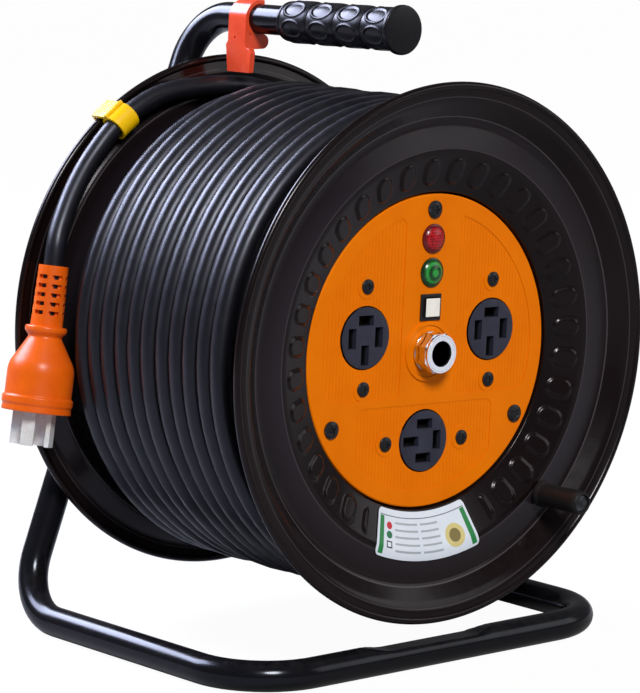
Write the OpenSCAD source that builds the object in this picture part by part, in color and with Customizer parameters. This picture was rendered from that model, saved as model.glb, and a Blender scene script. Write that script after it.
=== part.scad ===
// Extension cord reel on a bent tube stand, standing on the floor.
// Sizes are in millimetres. The front faces -Y, +Z is up, and the origin lies on the floor
// under the middle of the reel.

/* [Drum] */
// Outer radius of both flanges
flange_r = 168; // [166:1:172]
// Distance between the outer rims of the two flanges
drum_w = 222; // [220:1:230]
// Thickness of the flange sheet
sheet = 1.4; // [1:0.1:2]
// Radius of the rolled bead on the rim
bead_r = 2.4; // [2:0.1:3]
// Outer radius of the drum core
core_r = 114.6; // [112:0.2:116]
// Raised ovals pressed in each flange
oval_count = 36; // [24:1:40]

/* [Panel] */
// Radius of the front panel
panel_r = 97.8; // [96:0.2:98]
// Depth of the panel's face behind the front rim
panel_y = 19.5; // [18:0.5:21]
// Thickness of the panel
panel_t = 4; // [3:0.5:5]
// Turn of the drum from upright, clockwise from the front, in degrees
panel_turn = 2; // [-10:1:10]
// Radius of an outlet's face
outlet_r = 19; // [18:0.5:20]
// Distance of the side outlets from the middle
outlet_x = 52; // [48:1:54]
// Height of the side outlets over the axle
outlet_z = 11; // [8:1:14]
// Depth of the lower outlet under the axle
outlet_low = 56; // [52:1:58]
// Height of the red lamp over the axle
red_z = 70; // [69:0.5:71]
// Height of the green lamp over the axle
green_z = 49; // [48:0.5:50]
// Height of the button over the axle
button_z = 27.5; // [27:0.5:28]
// Travel of the button
button_travel = 2; // [1:0.5:2.5]

/* [Cord] */
// Diameter of the cord
cord_d = 13; // [12:0.1:13]
// Distance between neighbouring turns
wind_pitch = 13.45; // [13.45:0.01:13.6]
// Radius of the outer layer, to the middle of the cord
wind_r = 148; // [147.5:0.1:148.5]
// Turns in the outer layer
wind_turns = 10.6; // [9:0.1:11]

/* [Stand] */
// Outer diameter of the tube
tube_d = 19.1; // [18:0.1:20]
// Wall of the tube
tube_wall = 1.2; // [1:0.1:2]
// Height of the axle over the middle of the base tube
axle_up = 185.2; // [184:0.1:190]
// Half the distance between the base's side tubes
base_x = 150; // [145:1:155]
// Front base tube's middle, behind the front rim
base_y = 3.6; // [2:0.2:6]
// Corner of the base and the legs, behind the front rim
foot_y = 238; // [238:1:244]
// Corner of the legs and the handle, behind the front rim
apex_y = 249; // [246:1:254]
// Height of the handle over the axle, at the middle of the grip
handle_z = 194.8; // [193:0.1:200]
// Tilt of the handle, front end up, in degrees
handle_tilt = 1.2; // [0:0.1:2]
// Bend radius of the base's front corners
front_bend = 48; // [40:1:60]
// Bend radius of the rear corners
rear_bend = 40; // [35:1:44]
// Bend radius of the handle
handle_bend_r = 32; // [30:1:36]

/* [Knob] */
// Distance of the winding knob from the axle
knob_at = 133; // [132:0.5:134]
// Angle of the winding knob from the top, clockwise from the front
knob_angle = 137.7; // [130:0.1:145]
// Radius of the winding knob
knob_r = 7.8; // [7:0.1:8.5]
// Reach of the knob in front of the front rim
knob_front = 30; // [26:1:36]

/* [Hidden] */
$fn = 64;
run_gap = 0.08;
axle_r = 10.85;
axle_bore_r = 8.05;
axle_back = 266;
mid_y = (axle_back - knob_front) / 2;
tube_r = tube_d / 2;
// Straight runs of the bent tube stop this short of its bends.
butt_gap = 0.01;
cord_r = cord_d / 2;

// Everything below is drawn with the drum's axis on Y and the front rim at y = 0.
module reel() translate([0, -mid_y, axle_up + tube_r]) children();
// A profile of radius and depth, turned about the drum's axis.
module lathe() rotate([-90, 0, 0]) rotate_extrude($fn = 96) children();
// The same over an arc that is centred on the top.
module lathe_arc(half)
    rotate([-90, 0, 0]) rotate([0, 0, -90 - half]) rotate_extrude(angle = 2 * half, $fn = 96) children();
// A place by its angle to the left of the top, seen from the front.
module left_of_top(angle) rotate([0, -angle, 0]) children();
// A place on the front panel.
module on_panel(x, z, y = 0) rotate([0, panel_turn, 0]) translate([x, y, z]) children();
// A cylinder that runs back from its place.
module rod(r, y1, y2) translate([0, y1, 0]) rotate([-90, 0, 0]) cylinder(r = r, h = y2 - y1);
module square_rod(side, y1, y2) translate([-side / 2, y1, -side / 2]) cube([side, y2 - y1, side]);
module ring(r1, r2, y1, y2) {
    difference() {
        rod(r2, y1, y2);
        rod(r1, y1 - 1, y2 + 1);
    }
}

// Vectors and swept tubes
function unit(v) = v / norm(v);
function at_angle(angle, r, y) = [-r * sin(angle), y, r * cos(angle)];
function curve_point(a, b, c, d, t) =
    0.5 * (2 * b + (c - a) * t + (2 * a - 5 * b + 4 * c - d) * t * t + (3 * b - a - 3 * c + d) * t * t * t);
function smooth_route(p, steps) = [
    for (i = [0 : len(p) - 2])
        for (j = [0 : i == len(p) - 2 ? steps : steps - 1])
            curve_point(p[max(i - 1, 0)], p[i], p[i + 1], p[min(i + 2, len(p) - 1)], j / steps)
];
function heading(p, i) = unit(p[min(i + 1, len(p) - 1)] - p[max(i - 1, 0)]);
// Ring of points round a route, with one corner towards the given side.
function ring_points(centre, along, side, r, sides) =
    let (u = unit(side - (side * along) * along), v = cross(along, u))
    [for (k = [0 : sides - 1]) centre + r * (cos(360 * k / sides) * u + sin(360 * k / sides) * v)];
module tube_mesh(rings) {
    sides = len(rings[0]);
    last = len(rings) - 1;
    walls = [
        for (i = [0 : last - 1])
            for (k = [0 : sides - 1])
                let (a = i * sides + k, b = i * sides + (k + 1) % sides)
                each [[a, b + sides, b], [a, a + sides, b + sides]]
    ];
    start = [for (k = [1 : sides - 2]) [0, k, k + 1]];
    finish = [for (k = [1 : sides - 2]) [last * sides, last * sides + k + 1, last * sides + k]];
    polyhedron(points = [for (r = rings) each r], faces = concat(start, finish, walls));
}
module swept_tube(p, r, sides, side)
    tube_mesh([for (i = [0 : len(p) - 1]) ring_points(p[i], heading(p, i), side, r, sides)]);

// The stand: legs that lean in and back, and bends between them
grip_mid = 102;
function handle_at(y) = [0, y, handle_z + (grip_mid - y) * tan(handle_tilt)];
handle_way = [0, -cos(handle_tilt), sin(handle_tilt)];
foot = [-base_x, foot_y, -axle_up];
apex = handle_at(apex_y);
leg_way = unit(apex - foot);
// The right leg ends on the left one, at this height over the axle.
weld_z = 142;
weld = foot + leg_way * (weld_z + axle_up) / leg_way[2];
function mirrored(p) = [-p[0], p[1], p[2]];
right_way = unit(mirrored(weld) - foot);
function lean(way) = atan2(way[0], way[2]);
function foot_turn(way) = acos(way[1]);
function foot_run(way) = rear_bend * tan(foot_turn(way) / 2);
function leg_up(way) = [sin(lean(way)), 0, cos(lean(way))];
function leg_foot(way) = foot + foot_run(way) * way;
apex_turn = acos(leg_way * handle_way);
apex_run = handle_bend_r * tan(apex_turn / 2);
leg_top = apex - apex_run * leg_way;
side_front = base_y + front_bend;
handle_back = apex + apex_run * handle_way;
handle_front = 53.4;
module tube_section(r) {
    difference() {
        circle(r = r);
        circle(r = r - tube_wall);
    }
}
module straight(p, q, hollow = true) {
    way = q - p;
    translate(p)
        rotate([0, acos(way[2] / norm(way)), atan2(way[1], way[0])])
            translate([0, 0, butt_gap])
                linear_extrude(norm(way) - 2 * butt_gap)
                    if (hollow) tube_section(tube_r);
                    else circle(r = tube_r);
}
module bend(radius, angle) rotate_extrude(angle = angle) translate([radius, 0]) tube_section(tube_r);
module handle_bend() {
    out = -unit(handle_way - (handle_way * leg_way) * leg_way);
    pin = cross(out, leg_way);
    mid = leg_top - handle_bend_r * out;
    multmatrix([
        [out[0], leg_way[0], pin[0], mid[0]],
        [out[1], leg_way[1], pin[1], mid[1]],
        [out[2], leg_way[2], pin[2], mid[2]],
        [0, 0, 0, 1]
    ])
        bend(handle_bend_r, apex_turn);
}
// A place on the handle, along its tilted axis.
module on_handle()
    translate(handle_at(grip_mid)) rotate([-handle_tilt, 0, 0]) translate([0, -grip_mid, 0]) children();
module left_leg(hollow = true) straight(leg_foot(leg_way), leg_top, hollow);
module right_leg_tube(hollow = true)
    mirror([1, 0, 0]) straight(leg_foot(right_way), mirrored(weld), hollow);

// Base loop: two side tubes, the front tube and the bends into the legs.
// The front tube is pressed flat on top, under the flange.
dent_mid = -8;
dent_l = 74;
dent_ramp = 16;
dent_depth = 3.6;
module base_side(way) {
    back = [-base_x, foot_y - foot_run(way), -axle_up];
    straight(back, [-base_x, side_front, -axle_up]);
    translate([-base_x + front_bend, side_front, -axle_up]) rotate([0, 0, 180]) bend(front_bend, 90);
    translate(back + rear_bend * leg_up(way)) rotate([0, 90 + lean(way), 0]) bend(rear_bend, foot_turn(way));
}
module dent_cut() {
    half = dent_l / 2;
    rise = dent_depth + 1;
    run = half + dent_ramp * rise / dent_depth;
    translate([dent_mid, base_y + tube_d, tube_r - dent_depth - axle_up])
        rotate([90, 0, 0])
            linear_extrude(2 * tube_d)
                polygon([[-half, 0], [half, 0], [run, rise], [-run, rise]]);
}
module base_tube() color("#17181c") reel() {
    solid_half = dent_l / 2 + dent_ramp + 4;
    left = [-base_x + front_bend, base_y, -axle_up];
    mid_left = [dent_mid - solid_half, base_y, -axle_up];
    mid_right = [dent_mid + solid_half, base_y, -axle_up];
    base_side(leg_way);
    mirror([1, 0, 0]) base_side(right_way);
    straight(left, mid_left);
    difference() {
        straight(mid_left, mid_right, false);
        dent_cut();
    }
    straight(mid_right, [-left[0], base_y, -axle_up]);
}

// Left leg, bent forward into the handle.
module handle_tube() color("#17181c") reel() {
    left_leg();
    handle_bend();
    straight(handle_back, handle_at(handle_front));
}

// Right leg, cut to lie against the left one and welded there.
module right_leg() color("#17181c") reel() difference() {
    right_leg_tube();
    left_leg(false);
}

// Plate between the legs, with a sleeve that holds the axle.
hub_y = foot_y + (apex_y - foot_y) * axle_up / (axle_up + apex[2]);
hub_t = 5;
hub_h = 38;
sleeve_r = 16;
sleeve_front = 234;
sleeve_back = 260;
function leg_reach(way) = base_x - axle_up * way[0] / way[2];
module cross_plate() color("#1b1c20") reel() {
    left = leg_reach(leg_way);
    right = leg_reach(right_way);
    difference() {
        union() {
            difference() {
                translate([-left, hub_y - hub_t / 2, -hub_h / 2]) cube([left + right, hub_t, hub_h]);
                left_leg(false);
                right_leg_tube(false);
            }
            rod(sleeve_r, sleeve_front, sleeve_back);
        }
        rod(axle_r + 0.05, sleeve_front - 1, sleeve_back + 1);
    }
}

// Pipe axle, with a nut at each end.
axle_front = 6.5;
nut_back = 17.6;
module axle() color("#c9ccd0") reel() ring(axle_bore_r, axle_r, axle_front, axle_back);
module axle_rear_nut() color("#b9bcc0") reel() difference() {
    translate([0, sleeve_back + 0.2, 0]) rotate([-90, 0, 0]) cylinder(r = 18, h = 5.4, $fn = 6);
    rod(axle_r + 0.05, sleeve_back - 1, axle_back + 1);
}
module axle_washer() color("#b9bcc0") reel() ring(axle_r + 0.05, 13.4, nut_back, nut_back + 1);
module axle_nut() color("#d4d7da") reel() difference() {
    union() {
        rotate([0, 22.5, 0])
            translate([0, 8.5, 0]) rotate([-90, 0, 0]) cylinder(r = 14, h = nut_back - 8.5, $fn = 8);
        rod(12, axle_front, 8.6);
    }
    rod(axle_r + 0.05, axle_front - 1, nut_back + 1);
}

// Moulded grip with four lobes and an end cap, pushed on the handle.
grip_y1 = 48.2;
grip_y2 = 155.8;
grip_valley = 12.2;
grip_lobe = 13.75;
grip_cap = 15.5;
lobe_pitch = 26;
lobe_start = 49.8;
lobe_end = lobe_start + 4 * lobe_pitch;
function lobe_r(y) =
    grip_valley + (grip_lobe - grip_valley) * sqrt(abs(sin(180 * (y - lobe_start) / lobe_pitch)));
module handle_grip() color("#202126") reel() on_handle() {
    lobes = [for (i = [1 : 32]) let (y = lobe_start + 4 * lobe_pitch * i / 32) [lobe_r(y), y]];
    difference() {
        lathe() polygon(concat(
            [[0, grip_y1], [grip_cap - 1.2, grip_y1], [grip_cap, grip_y1 + 1.2]],
            [[grip_cap, grip_y1 + 3.2], [13, grip_y1 + 4]],
            lobes,
            [[12.8, lobe_end + 0.5], [12.8, grip_y2], [0, grip_y2]]
        ));
        rod(tube_r + 0.05, handle_front - 0.1, grip_y2 + 1);
    }
}

// Snap-on stop on the handle: a hook over the tube, a round knuckle under it, and a tongue that
// hangs between the flanges.
stop_y1 = 186;
stop_y2 = 203.5;
stop_r = 12.3;
stop_lip = 3.5;
knuckle_r = 4.7;
knuckle_at = [2, -14.5];
tongue_x = [-13, -9];
tongue_low = -34;
module stop_section() difference() {
    union() {
        intersection() {
            circle(r = stop_r);
            translate([-20, -20]) square([20 + stop_lip, 40]);
        }
        translate(knuckle_at) circle(r = knuckle_r);
        translate([tongue_x[1] - 1, knuckle_at[1] - knuckle_r])
            square([knuckle_at[0] - tongue_x[1] + 1, 2 * knuckle_r]);
        polygon([[-stop_r, 0], [tongue_x[0], -13], [tongue_x[0], -18], [tongue_x[1], -18], [tongue_x[1], 0]]);
    }
    circle(r = tube_r + run_gap);
}
module stop_tongue() polygon([
    [stop_y1, -13], [stop_y2, -13], [stop_y2, -14], [205.5, -16.5], [204.3, tongue_low],
    [182.4, tongue_low], [180.5, -21], [182, -18.5], [stop_y1, -18]
]);
module reel_stop() color("#ff4a2c") reel() on_handle() difference() {
    union() {
        translate([0, stop_y2, 0]) rotate([90, 0, 0]) linear_extrude(stop_y2 - stop_y1) stop_section();
        translate([tongue_x[0], 0, 0])
            rotate([90, 0, 90]) linear_extrude(tongue_x[1] - tongue_x[0]) stop_tongue();
    }
    rod(tube_r + run_gap, stop_y1 - 2, stop_y2 + 2);
}

// Pressed flange: a rolled rim, a dish, a ridge and a cone with raised ovals.
cone_out = [123, 9.2];
cone_in = [102, 17.2];
cone_slope = atan2(cone_in[1] - cone_out[1], cone_out[0] - cone_in[0]);
back_shift = [0.7 * sheet, sheet];
function flange_face() = [
    [flange_r - 3.4, 1.2], [flange_r - 7.5, 1.6], [flange_r - 12.4, 3.1], [flange_r - 22, 9.9],
    [flange_r - 25, 10.7], [139, 10.8], [130.5, 8.9], [127, 8.7], cone_out, cone_in
];
function reversed(list) = [for (i = [len(list) - 1 : -1 : 0]) list[i]];
function sheet_outline(face) = concat(face, reversed([for (p = face) p + back_shift]));
module flange_sheet(inner) lathe() {
    polygon(sheet_outline(concat(flange_face(), inner)));
    translate([flange_r - bead_r, bead_r]) circle(r = bead_r);
}
oval_l = 17;
oval_w = 11;
oval_h = 1.2;
module stadium(l, w) {
    square([w, l - w], center = true);
    for (s = [-1, 1]) translate([0, s * (l - w) / 2]) circle(d = w);
}
label_gap = 26;
module flange_ovals(skip) {
    mid = (cone_out + cone_in) / 2;
    for (i = [0 : oval_count - 1]) {
        angle = (i + 0.5) * 360 / oval_count;
        if (abs(angle - 180) > skip)
            rotate([0, angle + panel_turn, 0])
                translate([0, mid[1], mid[0]])
                    rotate([90 + cone_slope, 0, 0])
                        translate([0, 0, -0.6])
                            linear_extrude(oval_h + 0.6) stadium(oval_l, oval_w);
    }
}
seat_y = panel_y + panel_t;
module front_flange() color("#241c1c") reel() difference() {
    union() {
        flange_sheet([[panel_r + 1.4, panel_y - 1.2], [panel_r + 0.6, seat_y], [80, seat_y]]);
        flange_ovals(label_gap);
    }
    panel_screw_places() rod(2.7, seat_y - 1, seat_y + 4);
    knob_place() rod(3.3, 6, 16);
}
module rear_flange() color("#241c1c") reel() translate([0, drum_w, 0]) mirror([0, 1, 0]) {
    flange_sheet([[96, panel_y], [16.2, panel_y]]);
    flange_ovals(0);
}
core_front = 14.9;
module drum_core() color("#3a3c40") reel() difference() {
    ring(core_r - 1.2, core_r, core_front, drum_w - core_front);
    gland_place() cylinder(r = 9.2, h = 30, center = true);
}
module front_bush() color("#de7000") reel() difference() {
    union() {
        rod(16, panel_y - 0.5, 44);
        rod(20, seat_y, seat_y + 2.5);
    }
    rod(axle_r + run_gap, 0, 60);
}
module rear_bush() color("#2a2b2f") reel() difference() {
    union() {
        rod(16, 186, 213);
        rod(22, 198, drum_w - panel_y - sheet);
    }
    rod(axle_r + run_gap, 180, 220);
}

// Front panel with its outlets, lamps, button and screws
outlets = [[-outlet_x, outlet_z, 0], [outlet_x, outlet_z, 0], [0, -outlet_low, 90]];
screw_reach = 31.6;
panel_screw_r = 88;
module panel_screw_places()
    for (i = [0 : 2]) rotate([0, panel_turn + 120 * i, 0]) translate([0, 0, panel_screw_r]) children();
module outlet_place(i) on_panel(outlets[i][0], outlets[i][1]) rotate([0, outlets[i][2], 0]) children();
module outlet_screw_places()
    for (i = [0 : 2], s = [-1, 1]) outlet_place(i) translate([0, 0, s * screw_reach]) children();
module front_panel() color("#de7000") reel() difference() {
    union() {
        rod(panel_r, panel_y, seat_y);
        ring(16.2, 18.9, panel_y - 1.2, panel_y + 1);
    }
    rod(16.1, 0, 40);
    panel_screw_places() rod(2.7, panel_y - 1, seat_y + 1);
    for (i = [0 : 2]) outlet_place(i) rod(outlet_r + 0.15, panel_y - 1, seat_y + 1);
    outlet_screw_places() rod(2.2, panel_y - 1, seat_y + 1);
    for (z = [red_z, green_z]) on_panel(0, z) rod(8.5, panel_y - 1, seat_y + 1);
    on_panel(0, button_z) square_rod(14.2, panel_y - 1, seat_y + 1);
}
module screw(head_r, head_h, shank_r, shank_l) {
    difference() {
        lathe() polygon([
            [0, panel_y - head_h], [head_r * 0.6, panel_y - head_h + 0.2],
            [head_r, panel_y - head_h * 0.45], [head_r, panel_y], [0, panel_y]
        ]);
        for (a = [0, 90])
            rotate([0, a, 0])
                translate([-head_r * 0.45, panel_y - head_h - 1, -0.5]) cube([head_r * 0.9, 2, 1]);
    }
    rod(shank_r, panel_y - 0.1, panel_y + shank_l);
}
module panel_screws() color("#1a1a1c") reel() panel_screw_places() screw(5.5, 2.4, 2.5, 12);
module outlet_screws() color("#1a1a1c") reel() outlet_screw_places() screw(4.6, 2, 2, 11);

// Outlet: a round face with four slots, a pocket behind each, and a strap behind the panel.
slot_at = 10.7;
slots = [[0, slot_at, 9.8, 5.6], [-slot_at, 0, 3, 11], [slot_at, 0, 3, 11], [0, -slot_at, 3, 11]];
outlet_front = panel_y - 0.5;
pocket_y = 26;
outlet_back = 46;
module slot_box(s, grow, y1, y2)
    translate([s[0] - s[2] / 2 - grow, y1, s[1] - s[3] / 2 - grow])
        cube([s[2] + 2 * grow, y2 - y1, s[3] + 2 * grow]);
module outlet(i) color("#41444f") reel() outlet_place(i) difference() {
    union() {
        rod(outlet_r, outlet_front, outlet_back);
        translate([-8, seat_y + 0.1, -screw_reach - 5]) cube([16, 3, 2 * screw_reach + 10]);
    }
    for (s = slots) {
        slot_box(s, 0, outlet_front - 1, pocket_y + 1);
        slot_box(s, 1, pocket_y, outlet_back + 1);
    }
    for (s = [-1, 1]) translate([0, 0, s * screw_reach]) rod(2.2, seat_y - 1, seat_y + 5);
}
module outlet_left() outlet(0);
module outlet_right() outlet(1);
module outlet_bottom() outlet(2);
// Brass clips, one in each pocket, open to the front.
module contacts(i) color("#c9a44a") reel() outlet_place(i) for (s = slots) difference() {
    slot_box(s, 0.8, pocket_y + 2, outlet_back);
    slot_box(s, 0, pocket_y + 1, outlet_back - 4);
}
module outlet_left_contacts() contacts(0);
module outlet_right_contacts() contacts(1);
module outlet_bottom_contacts() contacts(2);

// Lamps: a domed lens in the panel, a holder behind it
lens_r = 8.3;
lens_back = 30;
module lens(z) reel() on_panel(0, z) lathe() polygon([
    [0, panel_y - 4], [3, panel_y - 3.8], [5.6, panel_y - 3], [7.4, panel_y - 1.8],
    [lens_r, panel_y - 0.2], [lens_r, lens_back], [0, lens_back]
]);
module red_lens() color("#b40a1e") lens(red_z);
module green_lens() color("#146e28") lens(green_z);
module lamp_holders() color("#222326") reel()
    for (z = [red_z, green_z]) on_panel(0, z) rod(lens_r, lens_back, 45);

// Reset button in its bezel, with the breaker behind it
bezel_hole = 12.1;
button_side = 11.5;
button_front = panel_y - 3.2;
breaker_front = 31;
module button_bezel() color("#1c1c1f") reel() on_panel(0, button_z) difference() {
    union() {
        square_rod(16.5, panel_y - 1.2, panel_y);
        square_rod(14, panel_y - 0.1, 25);
    }
    square_rod(bezel_hole, panel_y - 2, 26);
}
module reset_button() color("#f2f1ec") reel() on_panel(0, button_z)
    square_rod(button_side, button_front, breaker_front - button_travel - 0.5);
module breaker_body() color("#2b2c30") reel() on_panel(0, 0)
    translate([-15, breaker_front, 16.5]) cube([30, 30, 22.5]);

// Wiring inside the drum, from the gland to the breaker and the outlets.
gland_y = 100;
gland_angle = 200;
lead_back = outlet_back + 0.6;
breaker_back = breaker_front + 30.6;
module gland_place() left_of_top(gland_angle) translate([0, gland_y, core_r]) children();
module cord_gland() color("#1d1d20") reel() gland_place() difference() {
    union() {
        translate([0, 0, -22]) cylinder(r = 9, h = 21);
        translate([0, 0, -6]) cylinder(r = 13, h = 3.2);
    }
    translate([0, 0, -40]) cylinder(r = cord_r + 0.1, h = 60);
}
module inner_cord() color("#23252d") reel()
    swept_tube(smooth_route([
        at_angle(gland_angle, 112, gland_y), at_angle(gland_angle, 98, gland_y),
        at_angle(gland_angle, 70, gland_y), at_angle(gland_angle + 5, 46, gland_y - 12),
        at_angle(gland_angle + 10, 40, gland_y - 40)
    ], 3), cord_r, 8, [0, 1, 0.3]);
lead_d = 4;
lead_routes = [
    [[12, 56, -36], [-14, 57, -34], [-38, 59, -20], [-52, 58, -4], [-52, 52, 2], [-52, lead_back, 2]],
    [[18, 56, -36], [34, 57, -32], [48, 59, -18], [54, 58, -4], [54, 52, 2], [54, lead_back, 2]],
    [[15, 56, -42], [12, 57, -48], [6, 58, -54], [0, 56, -56], [0, 51, -56], [0, lead_back, -56]],
    [
        [20, 56, -31], [30, 58, -14], [31, 65, 6], [24, 70, 22], [12, 70, 27], [10, 66, 27],
        [10, breaker_back, 27]
    ]
];
module inner_leads() color("#8a3b2e") reel()
    for (p = lead_routes) swept_tube(smooth_route(p, 2), lead_d / 2, 8, [0.3, 1, 0.2]);

// Printed label under the panel, laid on the cone.
label_at = 177;
label_half = 20;
label_t = [0, -0.35];
label_line = [[100, 18], cone_in, cone_out, [127, 8.7], [129.5, 8.8]];
module rating_label() color("#f4f4ef") reel() left_of_top(label_at) lathe_arc(label_half) {
    face = [for (p = label_line) p + label_t];
    polygon(concat(face, reversed([for (p = face) p + label_t])));
}

// Winding knob, turning on a shoulder bolt through the front flange.
knob_y2 = 7.4;
module knob_place() rotate([0, knob_angle, 0]) translate([0, 0, knob_at]) children();
module knob_bolt() color("#1a1a1c") reel() knob_place() {
    rod(5, -knob_front + 1.5, -knob_front + 4.5);
    rod(3, -knob_front + 4.4, 20);
    rod(5.4, knob_y2 + 0.4, 8.4);
}
module knob_nut() color("#1a1a1c") reel() knob_place() difference() {
    translate([0, 13, 0]) rotate([-90, 0, 0]) cylinder(r = 5.8, h = 5, $fn = 6);
    rod(3.05, 12, 20);
}
module winding_knob() color("#1b1b1d") reel() knob_place() difference() {
    lathe() polygon([
        [0, -knob_front], [knob_r - 1.2, -knob_front], [knob_r, -knob_front + 1.2],
        [knob_r - 0.5, -8], [knob_r, knob_y2 - 3], [knob_r + 0.6, knob_y2], [0, knob_y2]
    ]);
    rod(3 + run_gap, -knob_front - 1, knob_y2 + 1);
    rod(5.4, -knob_front - 1, -knob_front + 5);
}

// Wound cord: one outer layer over a plain core of the layers under it.
// Each end runs straight and meets a stub that dips under the outer layer.
wind_y1 = 37;
wind_y2 = wind_y1 + wind_pitch * wind_turns;
wind_start = 150;
wind_finish = wind_start - 360 * wind_turns;
ring_step = 15;
rings_in_winding = round(360 * wind_turns / ring_step);
core_layers_r = (wind_r - cord_r) * cos(ring_step / 2) - 0.3;
core_layers_back = wind_y2 - wind_pitch;
// The last part of the outer layer sinks beside the layers under it.
dip_turns = 0.45;
dip_depth = 7;
stub_bend = 96;
stub_sweep = 100;
wind_sides = 6;
// Point, heading and outward side of the winding, by its angle to the left of the top.
function wind_angle(i) = wind_start - i * (wind_start - wind_finish) / rings_in_winding;
function wind_y(angle) = wind_y1 + wind_pitch * (wind_start - angle) / 360;
function wind_dip(angle) = dip_depth * pow(max(0, 1 - (angle - wind_finish) / (360 * dip_turns)), 1.2);
function outward(angle) = at_angle(angle, 1, 0);
function clockwise(angle) = [cos(angle), 0, sin(angle)];
function wind_ring(angle, run) =
    let (
        centre = at_angle(angle, wind_r - wind_dip(angle), wind_y(angle)) + run * clockwise(angle),
        out = outward(angle)
    )
    [for (k = [0 : wind_sides - 1])
        centre + cord_r * (cos(360 * k / wind_sides) * out + sin(360 * k / wind_sides) * [0, 1, 0])];
winding = concat(
    [wind_ring(wind_start, -cord_d)],
    [for (i = [0 : rings_in_winding]) wind_ring(wind_angle(i), 0)],
    [wind_ring(wind_finish, cord_d)]
);
// Least gap between neighbouring turns, on the points of one ring and the next turn's.
turn_rings = 360 / ring_step;
turn_gaps = [
    for (i = [0 : len(winding) - 1 - turn_rings])
        for (a = winding[i])
            for (j = [i + turn_rings - 1 : min(i + turn_rings + 1, len(winding) - 1)])
                for (b = winding[j]) norm(a - b)
];
echo(least_gap_in_winding = min(turn_gaps), turns = wind_turns, triangles = 12 * len(winding));
module cord_winding() color("#23252d") reel() tube_mesh([for (r = winding) reversed(r)]);
// A stub of the same cord that curls in from an end of the winding.
module stub(angle, way)
    left_of_top(angle)
        translate([way * cord_d, wind_y(angle), wind_r - wind_dip(angle) - stub_bend])
            rotate([-90, 0, 0])
                rotate([0, 0, way > 0 ? -90 : -90 - stub_sweep])
                    rotate_extrude(angle = stub_sweep) translate([stub_bend, 0]) circle(r = cord_r - 0.05);
module cord_core() color("#1f2128") reel() {
    ring(core_r + 0.2, core_layers_r, wind_y1 - cord_r, core_layers_back);
    difference() {
        union() {
            stub(wind_start, -1);
            stub(wind_finish, 1);
        }
        rod(core_r + 1, wind_y1 - 20, wind_y2 + 20);
    }
}

// Parked end of the cord: it leaves the groove behind the winding, passes the clip on the
// rear rim and ends in the plug. Each point is an angle left of the top, a distance inside
// the flange's edge, and a depth.
tail_route = [
    [-212, 45, 201], [-188, 45, 201], [-164, 45, 201], [-140, 45, 201], [-116, 45, 201], [-92, 45, 201],
    [-70, 44, 201], [-50, 41, 200.5], [-32, 35, 200.5], [-16, 26, 201], [-2, 20, 202], [12, 15, 204.6],
    [24, 9, 208], [36, 7, 208.5], [47, 8, 208.3], [56.4, 7.2, 205.2], [65, 5.4, 200.4]
];
plug_way_tilt = 169.3;
plug_way_turn = 195.3;
plug_roll = -18.5;
plug_start = at_angle(74.2, flange_r - 6.7, 197);
plug_way = [
    sin(plug_way_tilt) * cos(plug_way_turn), sin(plug_way_tilt) * sin(plug_way_turn), cos(plug_way_tilt)
];
tail_points = concat(
    [for (p = tail_route) at_angle(p[0], flange_r - p[1], p[2])],
    [plug_start - cord_d * plug_way, plug_start]
);
module cord_tail() color("#23252d") reel() swept_tube(smooth_route(tail_points, 2), cord_r, 10, [0, 1, 0]);

// Snap clip: a ring round the cord and a hook over the rear rim.
clip_at = 36;
clip_half = 2.6;
clip_wall = 2;
module cord_clip() color("#f8d800") reel() left_of_top(clip_at) lathe_arc(clip_half) {
    cord_at = [flange_r - 7, 208.5];
    clip_r = cord_r + 0.5;
    top = flange_r + 0.5;
    difference() {
        translate(cord_at) circle(r = clip_r + clip_wall);
        translate(cord_at) circle(r = clip_r);
        translate(cord_at - [20, 20 + 4]) square([13, 20]);
    }
    translate([top, cord_at[1]]) square([clip_wall, drum_w + 0.5 - cord_at[1]]);
    translate([top - 4, drum_w + 0.5]) square([4 + clip_wall, clip_wall]);
    translate([cord_at[0] + clip_r, cord_at[1]]) square([top + clip_wall - cord_at[0] - clip_r, clip_wall]);
}

// Plug: a windowed strain relief, a moulded body and four blades, along the plug's own axis.
relief_l = 38;
relief_r1 = 9.3;
relief_r2 = 10.2;
window_turn = 19.3;
module on_plug()
    reel() translate(plug_start)
        rotate([0, plug_way_tilt, plug_way_turn]) rotate([0, 0, plug_roll]) children();
module plug_relief() color("#eb5f0f") on_plug() difference() {
    cylinder(r1 = relief_r1, r2 = relief_r2, h = relief_l);
    for (row = [0 : 4], a = [0 : 60 : 300])
        rotate([0, 0, a + window_turn]) translate([7.2, -3.3, 6 + 5.6 * row]) cube([8, 6.6, 2.5]);
}
plug_end = 92;
module plug_body() color("#eb5f0f") on_plug() rotate_extrude($fn = 96) polygon([
    [0, relief_l], [12.2, relief_l], [13.2, relief_l + 1.5], [13.2, relief_l + 3], [10.2, relief_l + 6.5],
    [11, relief_l + 8], [20.2, relief_l + 24], [21, relief_l + 28], [21, relief_l + 44],
    [22.3, relief_l + 45], [22.3, relief_l + 49], [21.6, relief_l + 50.5], [22, plug_end], [0, plug_end]
]);
blade_l = 21;
module plug_blades() color("#d3d1cc") on_plug() for (s = slots)
    translate([s[0], s[1], plug_end + blade_l / 2])
        cube([s[2] == 3 ? 1.6 : 8.6, s[3] == 11 ? 8.6 : 3.2, blade_l], center = true);

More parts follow.
